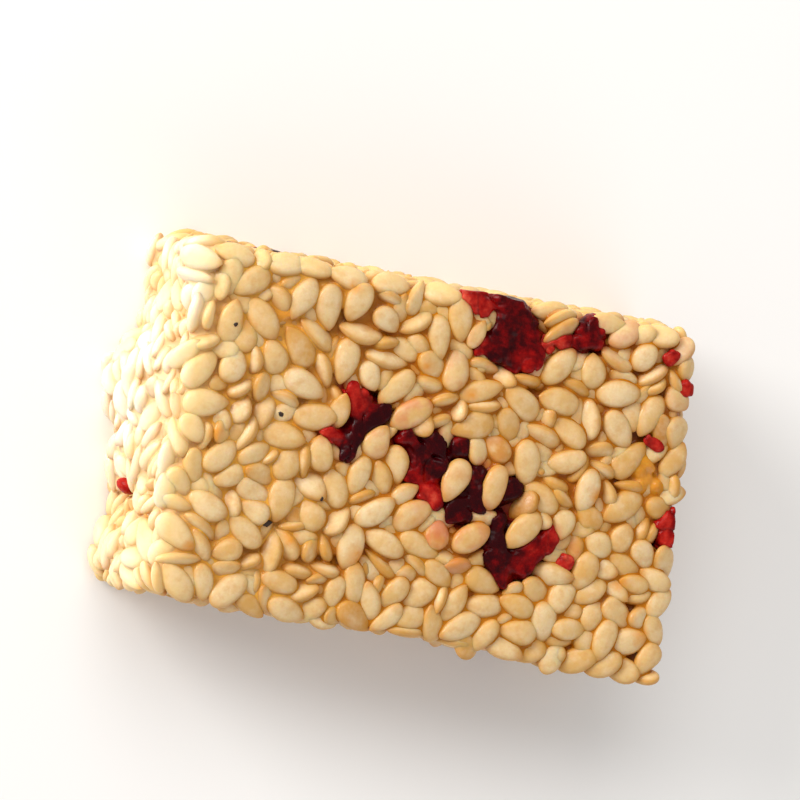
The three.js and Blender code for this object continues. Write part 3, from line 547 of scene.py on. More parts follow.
    room = clear(trial, feet, axis, half_l, half_w)
    for row in BERRIES[:6]:
        for x, y, z, size, _ in lobes_of(row):
            room = np.minimum(room, np.hypot(trial[:, 0] - x, trial[:, 1] - y) - size)
    for x, y, size in [(18.9, 2.26, 1.3)] + [(bit[0], bit[1], 0.5) for bit in BITS]:
        room = np.minimum(room, np.hypot(trial[:, 0] - x, trial[:, 1] - y) - size)
    extra = []
    for _ in range(230):
        k = int(np.argmax(room))
        if room[k] < 0.10:
            break
        a_ = rng.uniform(0, math.pi)
        size_ = (rng.uniform(2.7, 3.3), rng.uniform(1.55, 1.9))
        extra.append((*trial[k], a_, *size_, room[k]))
        room = np.minimum(room, clear(trial, trial[k : k + 1], np.array([[math.cos(a_), math.sin(a_)]]), np.array([size_[0] * 0.42]), np.array([size_[1] * 0.42])))
    extra = np.array(extra)
    m_ = len(extra)
    print(f"{m_} seeds in the gaps of the shown face, last room {extra[-1, 5]:.2f}")
    zero = np.zeros(m_)
    pos = np.concatenate([pos, np.column_stack([extra[:, :2], THICK - 0.78 - rng.uniform(0.0, 0.30, m_) + np.clip(extra[:, 5] - 0.3, 0, 0.3)])])
    tip = turned(np.column_stack([rng.normal(0, 0.22, m_), rng.normal(0, 0.16, m_), zero]))
    rot = np.concatenate([rot, turned(np.column_stack([zero, zero, extra[:, 2]])) @ tip])
    length, width = np.concatenate([length, extra[:, 3]]), np.concatenate([width, extra[:, 4]])
    height = np.concatenate([height, extra[:, 4] * 0.52])
    kind, stain, shade = np.concatenate([kind, zero + 2]), np.concatenate([stain, zero]), np.concatenate([shade, zero - 1])
    stay = np.concatenate([stay, zero == 0])
    kind, length, width, height = kind[stay], length[stay], width[stay], height[stay]
    pos, rot, stain, shade = pos[stay], rot[stay], stain[stay], shade[stay]
    return dict(stain=stain, shade=shade, kind=kind, length=length, width=width, height=height, pos=pos, rot=rot)


# ---------------------------------------------------------------------------
# One seed's surface
# ---------------------------------------------------------------------------
def seed_grid(rings, around):
    """Faces of a closed form with a pole at each end: (quads, triangles)."""
    quads, tris = [], []
    for i in range(rings - 1):
        for j in range(around):
            a = 1 + i * around + j
            b = 1 + i * around + (j + 1) % around
            quads.append((a, b, b + around, a + around))
    last = 1 + rings * around
    for j in range(around):
        k = (j + 1) % around
        tris.append((0, 1 + k, 1 + j))
        tris.append((last, last - around + j, last - around + k))
    return np.array(quads), np.array(tris)


def seed_points(rng, length, width, height, rings, around):
    """Points of n seeds in their own frames, tip at +x, and how far along each point lies."""
    n = len(length)
    theta = np.linspace(0, math.pi, rings + 2)
    # rings closer together near the ends
    theta = theta - 0.16 * np.sin(2 * theta)
    phi = np.arange(around) * TAU / around
    sharp = (0.12 + 0.62 * rng.beta(1.4, 2.2, n))[:, None]
    flat = rng.uniform(2.15, 2.65, n)[:, None, None]
    sin_ = np.sin(theta)[None]
    half = np.sin(theta / 2)[None]
    outline = sin_ * half**sharp
    outline /= outline.max(1, keepdims=True)
    deep = sin_**0.86 * half ** (sharp * 0.8)
    deep /= deep.max(1, keepdims=True)
    x = np.cos(theta)[None] * (length / 2)[:, None]
    # a low wave round the outline makes each seed a little different
    lob = rng.normal(0, 0.042, (n, 3))
    ph = rng.uniform(0, TAU, (n, 3))
    left = 1 + sum(lob[:, k : k + 1] * np.sin((k + 1) * theta[None] + ph[:, k : k + 1]) for k in range(3))
    right = 1 + sum(lob[:, k : k + 1] * np.cos((k + 1) * theta[None] + 2 * ph[:, k : k + 1]) for k in range(3))
    cos_, sn = np.cos(phi)[None, None], np.sin(phi)[None, None]
    e = 2 / flat
    cy = np.sign(cos_) * np.abs(cos_) ** e
    cz = np.sign(sn) * np.abs(sn) ** e
    w = np.where(cos_ > 0, left[:, :, None], right[:, :, None]) * (outline * (width / 2)[:, None])[:, :, None]
    y = cy * w
    z = cz * (deep * (height / 2)[:, None])[:, :, None]
    xx = np.broadcast_to(x[:, :, None], y.shape).copy()
    # a slight bow, a twist and a shallow dent on one side
    bow = rng.normal(0, 0.05, n)[:, None, None]
    z = z + bow * ((xx / (length / 2)[:, None, None]) ** 2 - 0.4) * 1.0
    y = y + rng.normal(0, 0.05, n)[:, None, None] * ((xx / (length / 2)[:, None, None]) ** 2 - 0.4)
    dent_x = rng.uniform(-0.5, 0.25, n)[:, None, None] * (length / 2)[:, None, None]
    dent_y = rng.uniform(-0.2, 0.2, n)[:, None, None] * (width / 2)[:, None, None]
    dent = np.exp(-(((xx - dent_x) / 0.62) ** 2 + ((y - dent_y) / 0.36) ** 2))
    z = z - np.sign(z) * dent * (rng.uniform(0.0, 0.09, n) * (height / 0.95))[:, None, None] * (sn > 0)
    ring = np.stack([xx, y, z], -1)[:, 1:-1].reshape(n, -1, 3)
    tip = np.zeros((n, 1, 3))
    tip[:, 0, 0] = length / 2
    tip[:, 0, 2] = (bow * 0.6)[:, 0, 0]
    end = np.zeros((n, 1, 3))
    end[:, 0, 0] = -length / 2
    end[:, 0, 2] = (bow * 0.6)[:, 0, 0]
    points = np.concatenate([tip, ring, end], 1)
    along = points[:, :, 0] / (length / 2)[:, None]
    rim = np.clip(1 - np.abs(points[:, :, 2]) / (height / 2)[:, None], 0, 1)
    return points, along, rim


def placed(seeds, pick, rings, around, rng):
    """World points of the picked seeds, in row millimetres."""
    local, along, rim = seed_points(
        rng, seeds["length"][pick], seeds["width"][pick], seeds["height"][pick], rings, around
    )
    where = to_row(seeds["pos"][pick])
    return np.einsum("nij,nvj->nvi", seeds["rot"][pick], local) + where[:, None], along, rim


def write_mesh(name, points, quads, tris, attributes=None, smooth=True):
    """A mesh object from arrays: points in millimetres, faces as index arrays."""
    me = bpy.data.meshes.new(name)
    quads = np.zeros((0, 4), int) if quads is None else np.asarray(quads)
    tris = np.zeros((0, 3), int) if tris is None else np.asarray(tris)
    me.vertices.add(len(points))
    me.vertices.foreach_set("co", (np.asarray(points, np.float32) * MM).ravel())
    loops = np.concatenate([quads.ravel(), tris.ravel()]).astype(np.int32)
    me.loops.add(len(loops))
    me.loops.foreach_set("vertex_index", loops)
    starts = np.concatenate([np.arange(len(quads)) * 4, len(quads) * 4 + np.arange(len(tris)) * 3])
    me.polygons.add(len(starts))
    me.polygons.foreach_set("loop_start", starts.astype(np.int32))
    me.update(calc_edges=True)
    me.validate()
    if smooth:
        me.polygons.foreach_set("use_smooth", np.ones(len(me.polygons), bool))
    for key, values in (attributes or {}).items():
        layer = me.attributes.new(key, "FLOAT", "POINT")
        layer.data.foreach_set("value", np.asarray(values, np.float32).ravel())
    ob = bpy.data.objects.new(name, me)
    bpy.context.scene.collection.objects.link(ob)
    return ob


def joined(points, quads, tris):
    """Faces of n alike forms whose points are stacked, shape (n, v, 3)."""
    n, v = points.shape[:2]
    step = (np.arange(n) * v)[:, None, None]
    return points.reshape(-1, 3), (quads[None] + step).reshape(-1, 4), (tris[None] + step).reshape(-1, 3)


# ---------------------------------------------------------------------------
# Level sets, for the syrup
# ---------------------------------------------------------------------------
VOXEL = 0.18


def level_set(points, quads, tris, half_width):
    t = vdb.createLinearTransform(VOXEL)
    return vdb.FloatGrid.createLevelSetFromPolygons(
        np.ascontiguousarray(points, np.float32),
        triangles=np.ascontiguousarray(tris, np.uint32),
        quads=np.ascontiguousarray(quads, np.uint32),
        transform=t,
        halfWidth=half_width,
    )


# ---------------------------------------------------------------------------
# Materials
# ---------------------------------------------------------------------------
class Nodes:
    """Small helper for building a node tree."""

    def __init__(self, name):
        self.mat = bpy.data.materials.new(name)
        self.mat.use_nodes = True
        self.tree = self.mat.node_tree
        self.shader = self.tree.nodes["Principled BSDF"]
        self.x = -1600

    def new(self, kind, **values):
        node = self.tree.nodes.new(kind)
        node.location = (self.x, 0)
        self.x += 40
        for key, value in values.items():
            setattr(node, key, value)
        return node

    def link(self, a, b):
        self.tree.links.new(a, b)

    def attribute(self, name):
        node = self.new("ShaderNodeAttribute", attribute_name=name)
        return node.outputs["Fac"]

    def noise(self, scale, detail=3.0, rough=0.5, stretch=(1, 1, 1)):
        """Noise in the object's own space; scale is in waves per millimetre."""
        at = self.new("ShaderNodeTexCoord").outputs["Object"]
        m = self.new("ShaderNodeMapping")
        m.inputs["Scale"].default_value = tuple(1000 * scale * s for s in stretch)
        self.link(at, m.inputs["Vector"])
        n = self.new("ShaderNodeTexNoise")
        n.inputs["Scale"].default_value = 1.0
        n.inputs["Detail"].default_value = detail
        n.inputs["Roughness"].default_value = rough
        self.link(m.outputs[0], n.inputs["Vector"])
        return n.outputs["Fac"]

    def ramp(self, fac, stops):
        r = self.new("ShaderNodeValToRGB")
        e = r.color_ramp.elements
        while len(e) < len(stops):
            e.new(0.5)
        for el, (pos, col) in zip(e, stops):
            el.position = pos
            el.color = (*col, 1) if len(col) == 3 else col
        self.link(fac, r.inputs["Fac"])
        return r.outputs["Color"]

    def span(self, value, a, b, c=0.0, d=1.0):
        m = self.new("ShaderNodeMapRange")
        m.clamp = True
        for key, v in zip(("From Min", "From Max", "To Min", "To Max"), (a, b, c, d)):
            m.inputs[key].default_value = v
        self.link(value, m.inputs["Value"])
        return m.outputs["Result"]

    def maths(self, op, a, b=None):
        m = self.new("ShaderNodeMath", operation=op)
        for k, v in enumerate((a, b)):
            if v is None:
                continue
            if isinstance(v, (int, float)):
                m.inputs[k].default_value = v
            else:
                self.link(v, m.inputs[k])
        return m.outputs[0]

    def mix(self, fac, a, b, blend="MIX"):
        m = self.new("ShaderNodeMix", data_type="RGBA", blend_type=blend)
        m.inputs[0].default_value = 1.0 if not hasattr(fac, "links") else 0.5
        if hasattr(fac, "links"):
            self.link(fac, m.inputs[0])
        else:
            m.inputs[0].default_value = fac
        for socket, v in ((m.inputs[6], a), (m.inputs[7], b)):
            if hasattr(v, "links"):
                self.link(v, socket)
            else:
                socket.default_value = (*v, 1)
        return m.outputs[2]

    def bump(self, height, strength, distance_mm):
        b = self.new("ShaderNodeBump")
        b.inputs["Strength"].default_value = strength
        b.inputs["Distance"].default_value = distance_mm * MM
        self.link(height, b.inputs["Height"])
        return b.outputs[0]

    def set(self, **values):
        for key, v in values.items():
            socket = self.shader.inputs[key.replace("_", " ")]
            if hasattr(v, "links"):
                self.link(v, socket)
            else:
                socket.default_value = v
        return self


def srgb(r, g, b):
    """Scene colour of a display colour from 0 to 255."""
    return tuple(c / 12.92 if c <= 0.04045 else ((c + 0.055) / 1.055) ** 2.4 for c in (r / 255, g / 255, b / 255))


def seed_material():
    m = Nodes("sesame_seed")
    tone, deep, stain, along, rim, pale, amber = (
        m.attribute(k) for k in ("tone", "deep", "stain", "along", "rim", "pale", "amber")
    )
    mottle = m.noise(0.9, 3, 0.55)
    fine = m.noise(5.0, 3, 0.6)
    base = m.ramp(tone, [
        (0.0, srgb(226, 200, 154)), (0.30, srgb(221, 187, 130)), (0.62, srgb(212, 166, 94)),
        (0.85, srgb(198, 142, 66)), (1.0, srgb(178, 114, 40)),
    ])  # fmt: skip
    base = m.mix(m.span(mottle, 0.40, 0.70, 0.0, 0.50), base, srgb(231, 208, 170))
    base = m.mix(m.span(m.noise(1.2, 3, 0.6), 0.48, 0.72, 0.0, 0.50), base, srgb(204, 150, 80))
    base = m.mix(m.span(fine, 0.35, 0.7, 0.0, 0.16), base, srgb(206, 150, 80))
    # amber margin: painted shade on each seed's sloping sides, with some of the thin edge's own translucent amber
    edge = m.maths("MULTIPLY", m.span(rim, 0.16, 0.66, 0.0, 0.70), m.span(pale, 0.0, 0.8, 1.0, 0.20))
    base = m.mix(edge, base, srgb(194, 136, 46))
    # painted light: paler towards the lit broken end and the upper long edge, near white at the end
    base = m.mix(m.span(pale, 0.0, 0.5, 0.0, 0.85), base, srgb(244, 206, 134))
    base = m.mix(m.span(pale, 0.36, 0.85, 0.0, 0.97), base, srgb(250, 240, 220))
    # the scar at the pointed end
    base = m.mix(m.span(along, 0.72, 0.98, 0.0, 0.45), base, srgb(190, 124, 56))
    # syrup stands deeper round each seed's foot, and painted shade darkens the seed there, the deeper under the outer
    # skin the more
    wet_and_shade = m.maths("MULTIPLY", m.span(deep, 0.05, 0.50, 0.0, 0.95), m.span(pale, 0.0, 1.0, 1.0, 0.35))
    base = m.mix(wet_and_shade, base, srgb(186, 116, 18))
    soak = m.maths("MULTIPLY", amber, m.span(m.noise(0.8, 2, 0.5), 0.32, 0.60, 0.45, 0.95))
    base = m.mix(soak, base, srgb(218, 140, 34))
    blot = m.maths("MULTIPLY", stain, m.span(m.noise(0.75, 2, 0.5), 0.40, 0.60, 0.15, 2.2))
    base = m.mix(m.span(blot, 0.0, 1.0, 0.0, 0.6), base, srgb(200, 84, 68))
    rough = m.span(fine, 0.3, 0.7, 0.34, 0.46)
    m.set(
        Base_Color=base, Roughness=rough, Subsurface_Weight=0.30, Subsurface_Radius=(0.9, 0.42, 0.12),
        Subsurface_Scale=0.5 * MM, Coat_Weight=0.20, Coat_Roughness=0.12, IOR=1.30,
    )
    height = m.maths("ADD", m.maths("MULTIPLY", m.noise(1.6, 2, 0.5), 1.0), m.maths("MULTIPLY", fine, 0.35))
    m.set(Normal=m.bump(height, 0.45, 0.08))
    return m.mat


def syrup_material():
    m = Nodes("amber_syrup")
    gap, deep, stain, pale, pool, light = (m.attribute(k) for k in ("gap", "deep", "stain", "pale", "pool", "light"))
    uneven = m.noise(0.45, 3, 0.55)
    fine = m.noise(2.6, 2, 0.5)
    # darker the deeper the syrup lies under the outer skin and the farther from the seeds: the syrup's own deeper amber
    # in part, painted shade in the crevices in part
    base = m.ramp(deep, [
        (0.0, srgb(208, 146, 40)), (0.15, srgb(192, 120, 20)), (0.45, srgb(162, 88, 6)), (0.85, srgb(122, 56, 2)),
    ])  # fmt: skip
    base = m.mix(m.span(gap, 0.2, 1.0, 0.0, 0.3), base, srgb(126, 62, 6))
    base = m.mix(m.span(uneven, 0.42, 0.72, 0.0, 0.35), base, srgb(176, 106, 18))
    # painted light on the syrup towards the left end
    base = m.mix(m.maths("MULTIPLY", light, m.span(m.noise(0.8, 2, 0.5), 0.35, 0.65, 0.35, 0.85)), base, srgb(226, 168, 72))
    base = m.mix(m.maths("MULTIPLY", pool, 0.8), base, srgb(212, 138, 38))
    # painted light: paler towards the lit broken end and the upper long edge
    base = m.mix(m.span(pale, 0.1, 0.8, 0.0, 0.92), base, srgb(246, 224, 180))
    base = m.mix(m.span(stain, 0.0, 1.0, 0.0, 0.9), base, srgb(130, 20, 18))
    m.set(
        Base_Color=base, Roughness=m.span(fine, 0.3, 0.7, 0.14, 0.28), Subsurface_Weight=0.3,
        Subsurface_Radius=(1.0, 0.42, 0.08), Subsurface_Scale=0.3 * MM, Coat_Weight=m.span(pool, 0.4, 1.0, 0.10, 0.75), Specular_IOR_Level=0.18, Coat_Roughness=0.05,
        IOR=1.34,
    )
    rise = m.maths("ADD", fine, m.maths("MULTIPLY", m.noise(0.9, 2, 0.5), m.maths("MULTIPLY", pool, 2.5)))
    m.set(Normal=m.bump(rise, 0.45, 0.12))
    return m.mat


def berry_material():
    m = Nodes("dried_cranberry")
    thin, fold_shade = m.attribute("thin"), m.attribute("fold_shade")
    patch = m.noise(0.55, 3, 0.6)
    fine = m.noise(2.2, 4, 0.6)
    blotch = m.noise(1.5, 3, 0.6)
    tone = m.maths("ADD", m.maths("MULTIPLY", thin, 0.8), m.span(patch, 0.30, 0.75, -0.22, 0.24))
    base = m.ramp(m.maths("ADD", tone, m.span(blotch, 0.34, 0.66, -0.18, 0.16)), [
        (0.0, srgb(46, 1, 5)), (0.14, srgb(70, 1, 4)), (0.32, srgb(108, 2, 5)), (0.54, srgb(142, 10, 8)),
        (0.80, srgb(178, 38, 28)), (1.0, srgb(198, 76, 54)),
    ])  # fmt: skip
    # painted shade darkens the creases of the folds
    base = m.mix(m.span(fold_shade, 0.1, 1.0, 0.0, 0.5), base, srgb(66, 0, 3))
    m.set(
        Base_Color=base, Roughness=m.span(fine, 0.3, 0.7, 0.16, 0.34), Subsurface_Weight=0.25,
        Subsurface_Radius=(1.2, 0.10, 0.06), Subsurface_Scale=0.6 * MM, Coat_Weight=0.10, Coat_Roughness=0.06,
        Specular_IOR_Level=0.12, IOR=1.31,
    )
    m.set(Normal=m.bump(fine, 0.5, 0.12))
    return m.mat


# ---------------------------------------------------------------------------
# Cranberry pieces
# ---------------------------------------------------------------------------
GRAIN = 0.13  # voxel of the cranberry pieces that the upper face shows
GRAIN_SIDE = 0.17  # and of the others


def volume_mesh(field, origin, grain):
    """Surface of a dense distance field; negative is inside."""
    grid = vdb.FloatGrid(1.0)
    grid.copyFromArray(np.ascontiguousarray(field, np.float32))
    grid.transform = vdb.createLinearTransform(grain)
    points, tris, quads = grid.convertToPolygons(0.0, 0.0)
    return points + np.asarray(origin), tris, quads


def soft_max(a, b, k):
    """The larger of two fields, rounded where they cross."""
    h = np.clip(0.5 + 0.5 * (a - b) / k, 0, 1)
    return a * h + b * (1 - h) + k * h * (1 - h)


def berry_mesh(lobes, s, rough=1.0, carve=True, grain=GRAIN):
    """Folded skin over the lobes, in the straight block's millimetres."""
    lo = (lobes[:, :3] - lobes[:, 3:4]).min(0) - 0.8
    hi = (lobes[:, :3] + lobes[:, 3:4]).max(0) + 0.8
    count = np.ceil((hi - lo) / grain).astype(int)
    axes = [lo[k] + np.arange(count[k]) * grain for k in range(3)]
    p = np.stack(np.meshgrid(*axes, indexing="ij"), -1).reshape(-1, 3)
    warp = np.stack([noise(p / 1.3 + 9.1, s + 1), noise(p / 1.3 + 4.2, s + 2), noise(p / 1.3 + 7.7, s + 3)], 1)
    q = p + 0.32 * rough * warp
    d = np.full(len(p), 9.0)
    for x, y, z, size, _ in lobes:
        e = np.linalg.norm((q - [x, y, z]) * [1, 1, 0.82], axis=1) - size
        # lobes run together softly
        h = np.clip(0.5 + 0.5 * (d - e) / 0.42, 0, 1)
        d = d * (1 - h) + e * h - 0.42 * h * (1 - h)
    w = p + 0.35 * warp
    ridge = 1 - np.abs(noise(w / [1.0, 1.25, 1.3], s + 4))
    fine = 1 - np.abs(noise(w / 0.52, s + 5))
    d = d + rough * (0.28 * np.clip(ridge, 0, 1) ** 4 + 0.06 * fine**3 - 0.13) - 0.10
    # pressed about level with the faces it shows in
    d = soft_max(d, p[:, 2] - (THICK - 0.10 + 0.18 * noise(p / 1.3, s + 6)), 0.30)
    d = np.maximum(d, np.abs(p[:, 1]) - (HALF[1] + 0.12 + 0.15 * noise(p / 1.4, s + 7)))
    d = np.maximum(d, p[:, 0] - (HALF[0] + 0.25 + 0.15 * noise(p / 1.4, s + 8)))
    d = np.maximum(d, 0.12 - p[:, 2])
    if carve:
        d = soft_max(d, 0.02 - from_dense(field_seeds, to_row(p)), 0.16)
    points, tris, quads = volume_mesh(d.reshape(tuple(count)), lo, grain)
    points = points.astype(float)
    # brightness of the skin, and painted shade in the creases of its folds
    weight = np.zeros(len(points))
    glow = np.zeros(len(points))
    for x, y, z, size, bright in lobes:
        k = np.exp(-(np.sum((points - [x, y, z]) ** 2, 1) / (0.55 * size**2)))
        weight += k
        glow += k * bright
    glow = glow / np.maximum(weight, 1e-9)
    w = points + 0.35 * np.stack([noise(points / 1.3 + 9.1, s + 1), noise(points / 1.3 + 4.2, s + 2), noise(points / 1.3 + 7.7, s + 3)], 1)
    fold_shade = np.clip(1 - np.abs(noise(w / [1.0, 1.25, 1.3], s + 4)), 0, 1) ** 5
    return points, tris, quads, glow, fold_shade


ALL_LOBES = np.concatenate([lobes_of(row) for row in BERRIES])


def berry_distance(p):
    """Distance in millimetres from points (row) to the nearest cranberry piece."""
    best = np.full(len(p), 9.0)
    for x, y, z, size, _ in ALL_LOBES:
        at = to_row(np.array([x, y, z], float))
        best = np.minimum(best, np.linalg.norm(p - at, axis=1) - size)
    return best


# ---------------------------------------------------------------------------
# Build
# ---------------------------------------------------------------------------
began = time.time()
rng = np.random.default_rng(20812)
seeds = pack_seeds(rng, 260)
print(f"packing {time.time() - began:.1f} s")

def painted_glare(p):
    """Painted light: the broken end, lit most by the lamp on that side, is painted paler up to near white, and so is
    the upper long edge a little.
    """
    end = np.clip((-HALF[0] + 6.0 + 0.5 * noise(p / 1.7, 56) - p[:, 0] + SHIFT[0]) / 6.2, 0, 1) ** 1.7
    far = np.clip((p[:, 1] - HALF[1] + 1.1) / 1.2, 0, 1)
    return np.maximum(0.95 * end, 0.40 * far) * (0.8 + 0.2 * noise(p / 2.4, 55))


def soaked(p):
    """How amber the seeds are at these points: round the listed spots, and on the other faces anywhere."""
    out = np.zeros(len(p))
    for x, y, z, size in AMBER:
        at = to_row(np.array([x, y, z], float))
        out = np.maximum(out, np.clip(1.5 * (1 - np.linalg.norm(p - at, axis=1) / size), 0, 1))
    away = np.clip((THICK - 1.5 - p[:, 2]) / 1.0, 0, 1)
    return np.maximum(out, away * np.clip((noise(p / 2.2, 58) + 0.6 * noise(p / 1.1, 59) - 0.85) / 0.25, 0, 1))


def painted_left_light(p):
    """Painted light: the syrup is painted lighter towards the left end, the side the light falls from."""
    return np.clip((-3.0 + 1.5 * noise(p / 3.1, 57) - p[:, 0]) / 9.0, 0, 1)


SHAPE = 77
all_ = np.arange(len(seeds["kind"]))
ROUGH = (7, 10)
coarse_q, coarse_t = seed_grid(*ROUGH)
coarse = np.zeros((len(all_), ROUGH[0] * ROUGH[1] + 2, 3))
for i in all_:
    coarse[i] = placed(seeds, np.array([i]), *ROUGH, np.random.default_rng(SHAPE + 1 + int(i)))[0][0]
pts, q4, t3 = joined(coarse, coarse_q, coarse_t)
# none stands far out of the far side
out = np.clip(coarse[:, :, 1].max(1) - (HALF[1] + 0.60), 0, None)
seeds["pos"][:, 1] -= out
coarse[:, :, 1] -= out[:, None]
print(f"{(out > 0).sum()} seeds drawn in, by up to {out.max():.2f} mm")
# the block's middle, so that the union has no holes
inner = HALF - 2.6
corner = to_row(np.array([[sx * inner[0], sy * inner[1], HALF[2] + sz * inner[2]] for sx in (-1, 1) for sy in (-1, 1) for sz in (-1, 1)]))
cube = np.array([(0, 1, 3, 2), (4, 6, 7, 5), (0, 4, 5, 1), (2, 3, 7, 6), (0, 2, 6, 4), (1, 5, 7, 3)]) + len(pts)
union = level_set(np.concatenate([pts, corner]), np.concatenate([q4, cube]), t3, 5)


def dense(grid, i0, shape, empty):
    out = np.full(shape, empty, np.float32)
    grid.copyToArray(out, ijk=tuple(int(v) for v in i0))
    return out


# the skin over all seeds, with every gap narrower than twice this radius filled
HULL = 0.95
width = int(math.ceil((HULL + 1.2) / VOXEL)) + 2
near = level_set(np.concatenate([pts, corner]), np.concatenate([q4, cube]), t3, width)
hull_mesh = near.convertToPolygons(HULL, 0.0)
closed = level_set(hull_mesh[0], hull_mesh[2], hull_mesh[1], width)
lo, hi = pts.min(0) - 2.4, pts.max(0) + 2.4
i0 = np.floor(lo / VOXEL).astype(int)
shape = tuple(int(v) for v in np.ceil(hi / VOXEL).astype(int) - i0 + 1)
field_seeds = dense(union, i0, shape, 1.0)
field_hull = dense(closed, i0, shape, 2.0) + HULL
place = np.stack(np.meshgrid(*[(i0[k] + np.arange(shape[k])) * VOXEL for k in range(3)], indexing="ij"), -1).reshape(-1, 3)
# the syrup stands lower than the seeds, here more and there less, and floods a few spots
sink = 0.68 + 0.18 * noise(place / 2.1, 71) + 0.10 * noise(place / 0.9, 72)
sink -= 0.14 * np.clip((-5.0 - place[:, 0]) / 8.0, 0, 1)
for x, y, z, size, lift in POOLS:
    at = to_row(np.array([x, y, z], float))
    sink -= lift * np.clip(1.5 * (1 - np.linalg.norm(place - at, axis=1) / size), 0, 1)


def pooled(p):
    out = np.zeros(len(p))
    for x, y, z, size, _ in POOLS:
        at = to_row(np.array([x, y, z], float))
        out = np.maximum(out, np.clip(1.6 * (1 - np.linalg.norm(p - at, axis=1) / size), 0, 1))
    return out


def softened(array, sigma):
    """Gaussian blur of a dense field, sigma in voxels: fills its crevices."""
    reach = int(math.ceil(2.5 * sigma))
    w = np.exp(-0.5 * (np.arange(-reach, reach + 1) / sigma) ** 2)
    w = (w / w.sum()).astype(np.float32)
    for axis in range(3):
        padded = np.pad(array, [(reach, reach) if k == axis else (0, 0) for k in range(3)], mode="edge")
        size = array.shape[axis]
        array = sum(w[k] * np.take(padded, range(k, k + size), axis=axis) for k in range(len(w)))
    return array


# drawn up between neighbours as a meniscus is
field_wet = softened(np.clip(field_seeds, -0.8, 0.8), 1.0) + 0.05
field_floor = field_hull + np.maximum(sink, 0.06).reshape(shape).astype(np.float32)
h = np.clip(0.5 + 0.5 * (field_floor - field_wet) / 0.24, 0, 1)
field = field_floor * (1 - h) + field_wet * h - 0.24 * h * (1 - h)
field = np.maximum(field, field_hull + 0.10)
flat_field = field.reshape(-1)
for x, y, z, size in LUMPS:
    at = to_row(np.array([x, y, z], float))
    close = np.nonzero((np.abs(place - at) < size + 0.7).all(1))[0]
    lump = (np.linalg.norm(place[close] - at, axis=1) - size).astype(np.float32)
    h = np.clip(0.5 + 0.5 * (flat_field[close] - lump) / 0.30, 0, 1)
    flat_field[close] = flat_field[close] * (1 - h) + lump * h - 0.30 * h * (1 - h)
field = flat_field.reshape(shape)
skin_grid = vdb.FloatGrid(1.0)
skin_grid.copyFromArray(np.ascontiguousarray(field, np.float32))
skin_grid.transform = vdb.createLinearTransform(VOXEL)
skin = skin_grid.convertToPolygons(0.0, 0.0)
skin = (skin[0] + (i0 * VOXEL).astype(np.float32), skin[1], skin[2])


def from_dense(array, p):
    q = np.clip(p / VOXEL - i0, 0, np.array(array.shape) - 1.001)
    b = np.floor(q).astype(int)
    f = q - b
    out = np.zeros(len(p))
    for a in (0, 1):
        for c in (0, 1):
            for d in (0, 1):
                w = (f[:, 0] if a else 1 - f[:, 0]) * (f[:, 1] if c else 1 - f[:, 1]) * (f[:, 2] if d else 1 - f[:, 2])
                out += w * array[b[:, 0] + a, b[:, 1] + c, b[:, 2] + d]
    return out


# how deep each seed's point lies under the outer skin
depth = -from_dense(field_hull, pts)
depth = depth.reshape(len(all_), -1)
shown = depth.min(1) < 0.45
print(f"{shown.sum()} seeds show of {len(all_)}")

tone = np.clip(rng.beta(2.0, 3.4, len(all_)) * 0.85, 0, 1)
tone = np.where(rng.random(len(all_)) < 0.05, rng.uniform(0.7, 1.0, len(all_)), tone)
shade = seeds["shade"]
tone = np.where(shade >= 0, np.clip(0.08 + 0.29 * shade + rng.normal(0, 0.10, len(all_)), 0, 1), tone)


def seed_piece(name, pick, rings, around):
    q, t = seed_grid(rings, around)
    # every seed keeps its own form, whichever piece it is in
    local = np.zeros((len(pick), rings * around + 2, 3))
    along, rim = np.zeros((2, len(pick), rings * around + 2))
    for k, i in enumerate(pick):
        p, al, ri = placed(seeds, np.array([i]), rings, around, np.random.default_rng(SHAPE + 1 + int(i)))
        local[k], along[k], rim[k] = p[0], al[0], ri[0]
    flat = local.reshape(-1, 3)
    flat[:, 2] = np.maximum(flat[:, 2], 0.0)
    deep = np.clip(-from_dense(field_hull, flat), 0, 1.5)
    stain = np.clip(1 - berry_distance(flat) / 0.6, 0, 1) * 0.40
    stain = np.maximum(stain, np.repeat(seeds["stain"][pick], local.shape[1]))
    points, quads, tris = joined(flat.reshape(local.shape), q, t)
    v = local.shape[1]
    ob = write_mesh(name, points, quads, tris, {
        "tone": np.repeat(tone[pick], v), "deep": deep, "stain": stain, "along": along, "rim": rim, "pale": painted_glare(flat),
        "amber": soaked(flat),
    })  # fmt: skip
    print(f"{name}: {len(pick)} seeds, {len(quads) * 2 + len(tris)} triangles")
    return ob, points, quads, tris


index = np.nonzero(shown)[0]
z = seeds["pos"][index, 2]
upper = index[z > THICK - 1.9]
lower = index[z < 1.9]
middle = index[(z >= 1.9) & (z <= THICK - 1.9)]
west = middle[seeds["pos"][middle, 0] < -HALF[0] + 3.2]
rest = middle[seeds["pos"][middle, 0] >= -HALF[0] + 3.2]
south = rest[seeds["pos"][rest, 1] < 0]
north = rest[seeds["pos"][rest, 1] >= 0]
sesame = seed_material()
pieces, built = [], []
for name, pick, rings, around in (
    ("seeds_upper_face", upper, 14, 16), ("seeds_left_end", west, 11, 12), ("seeds_near_side", south, 10, 12),
    ("seeds_far_side", north, 10, 12), ("seeds_lower_face", lower, 9, 11),
):  # fmt: skip
    ob, *form = seed_piece(name, pick, rings, around)
    built.append(form)
    ob.data.materials.append(sesame)
    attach(ob, "root")
    pieces.append(ob)

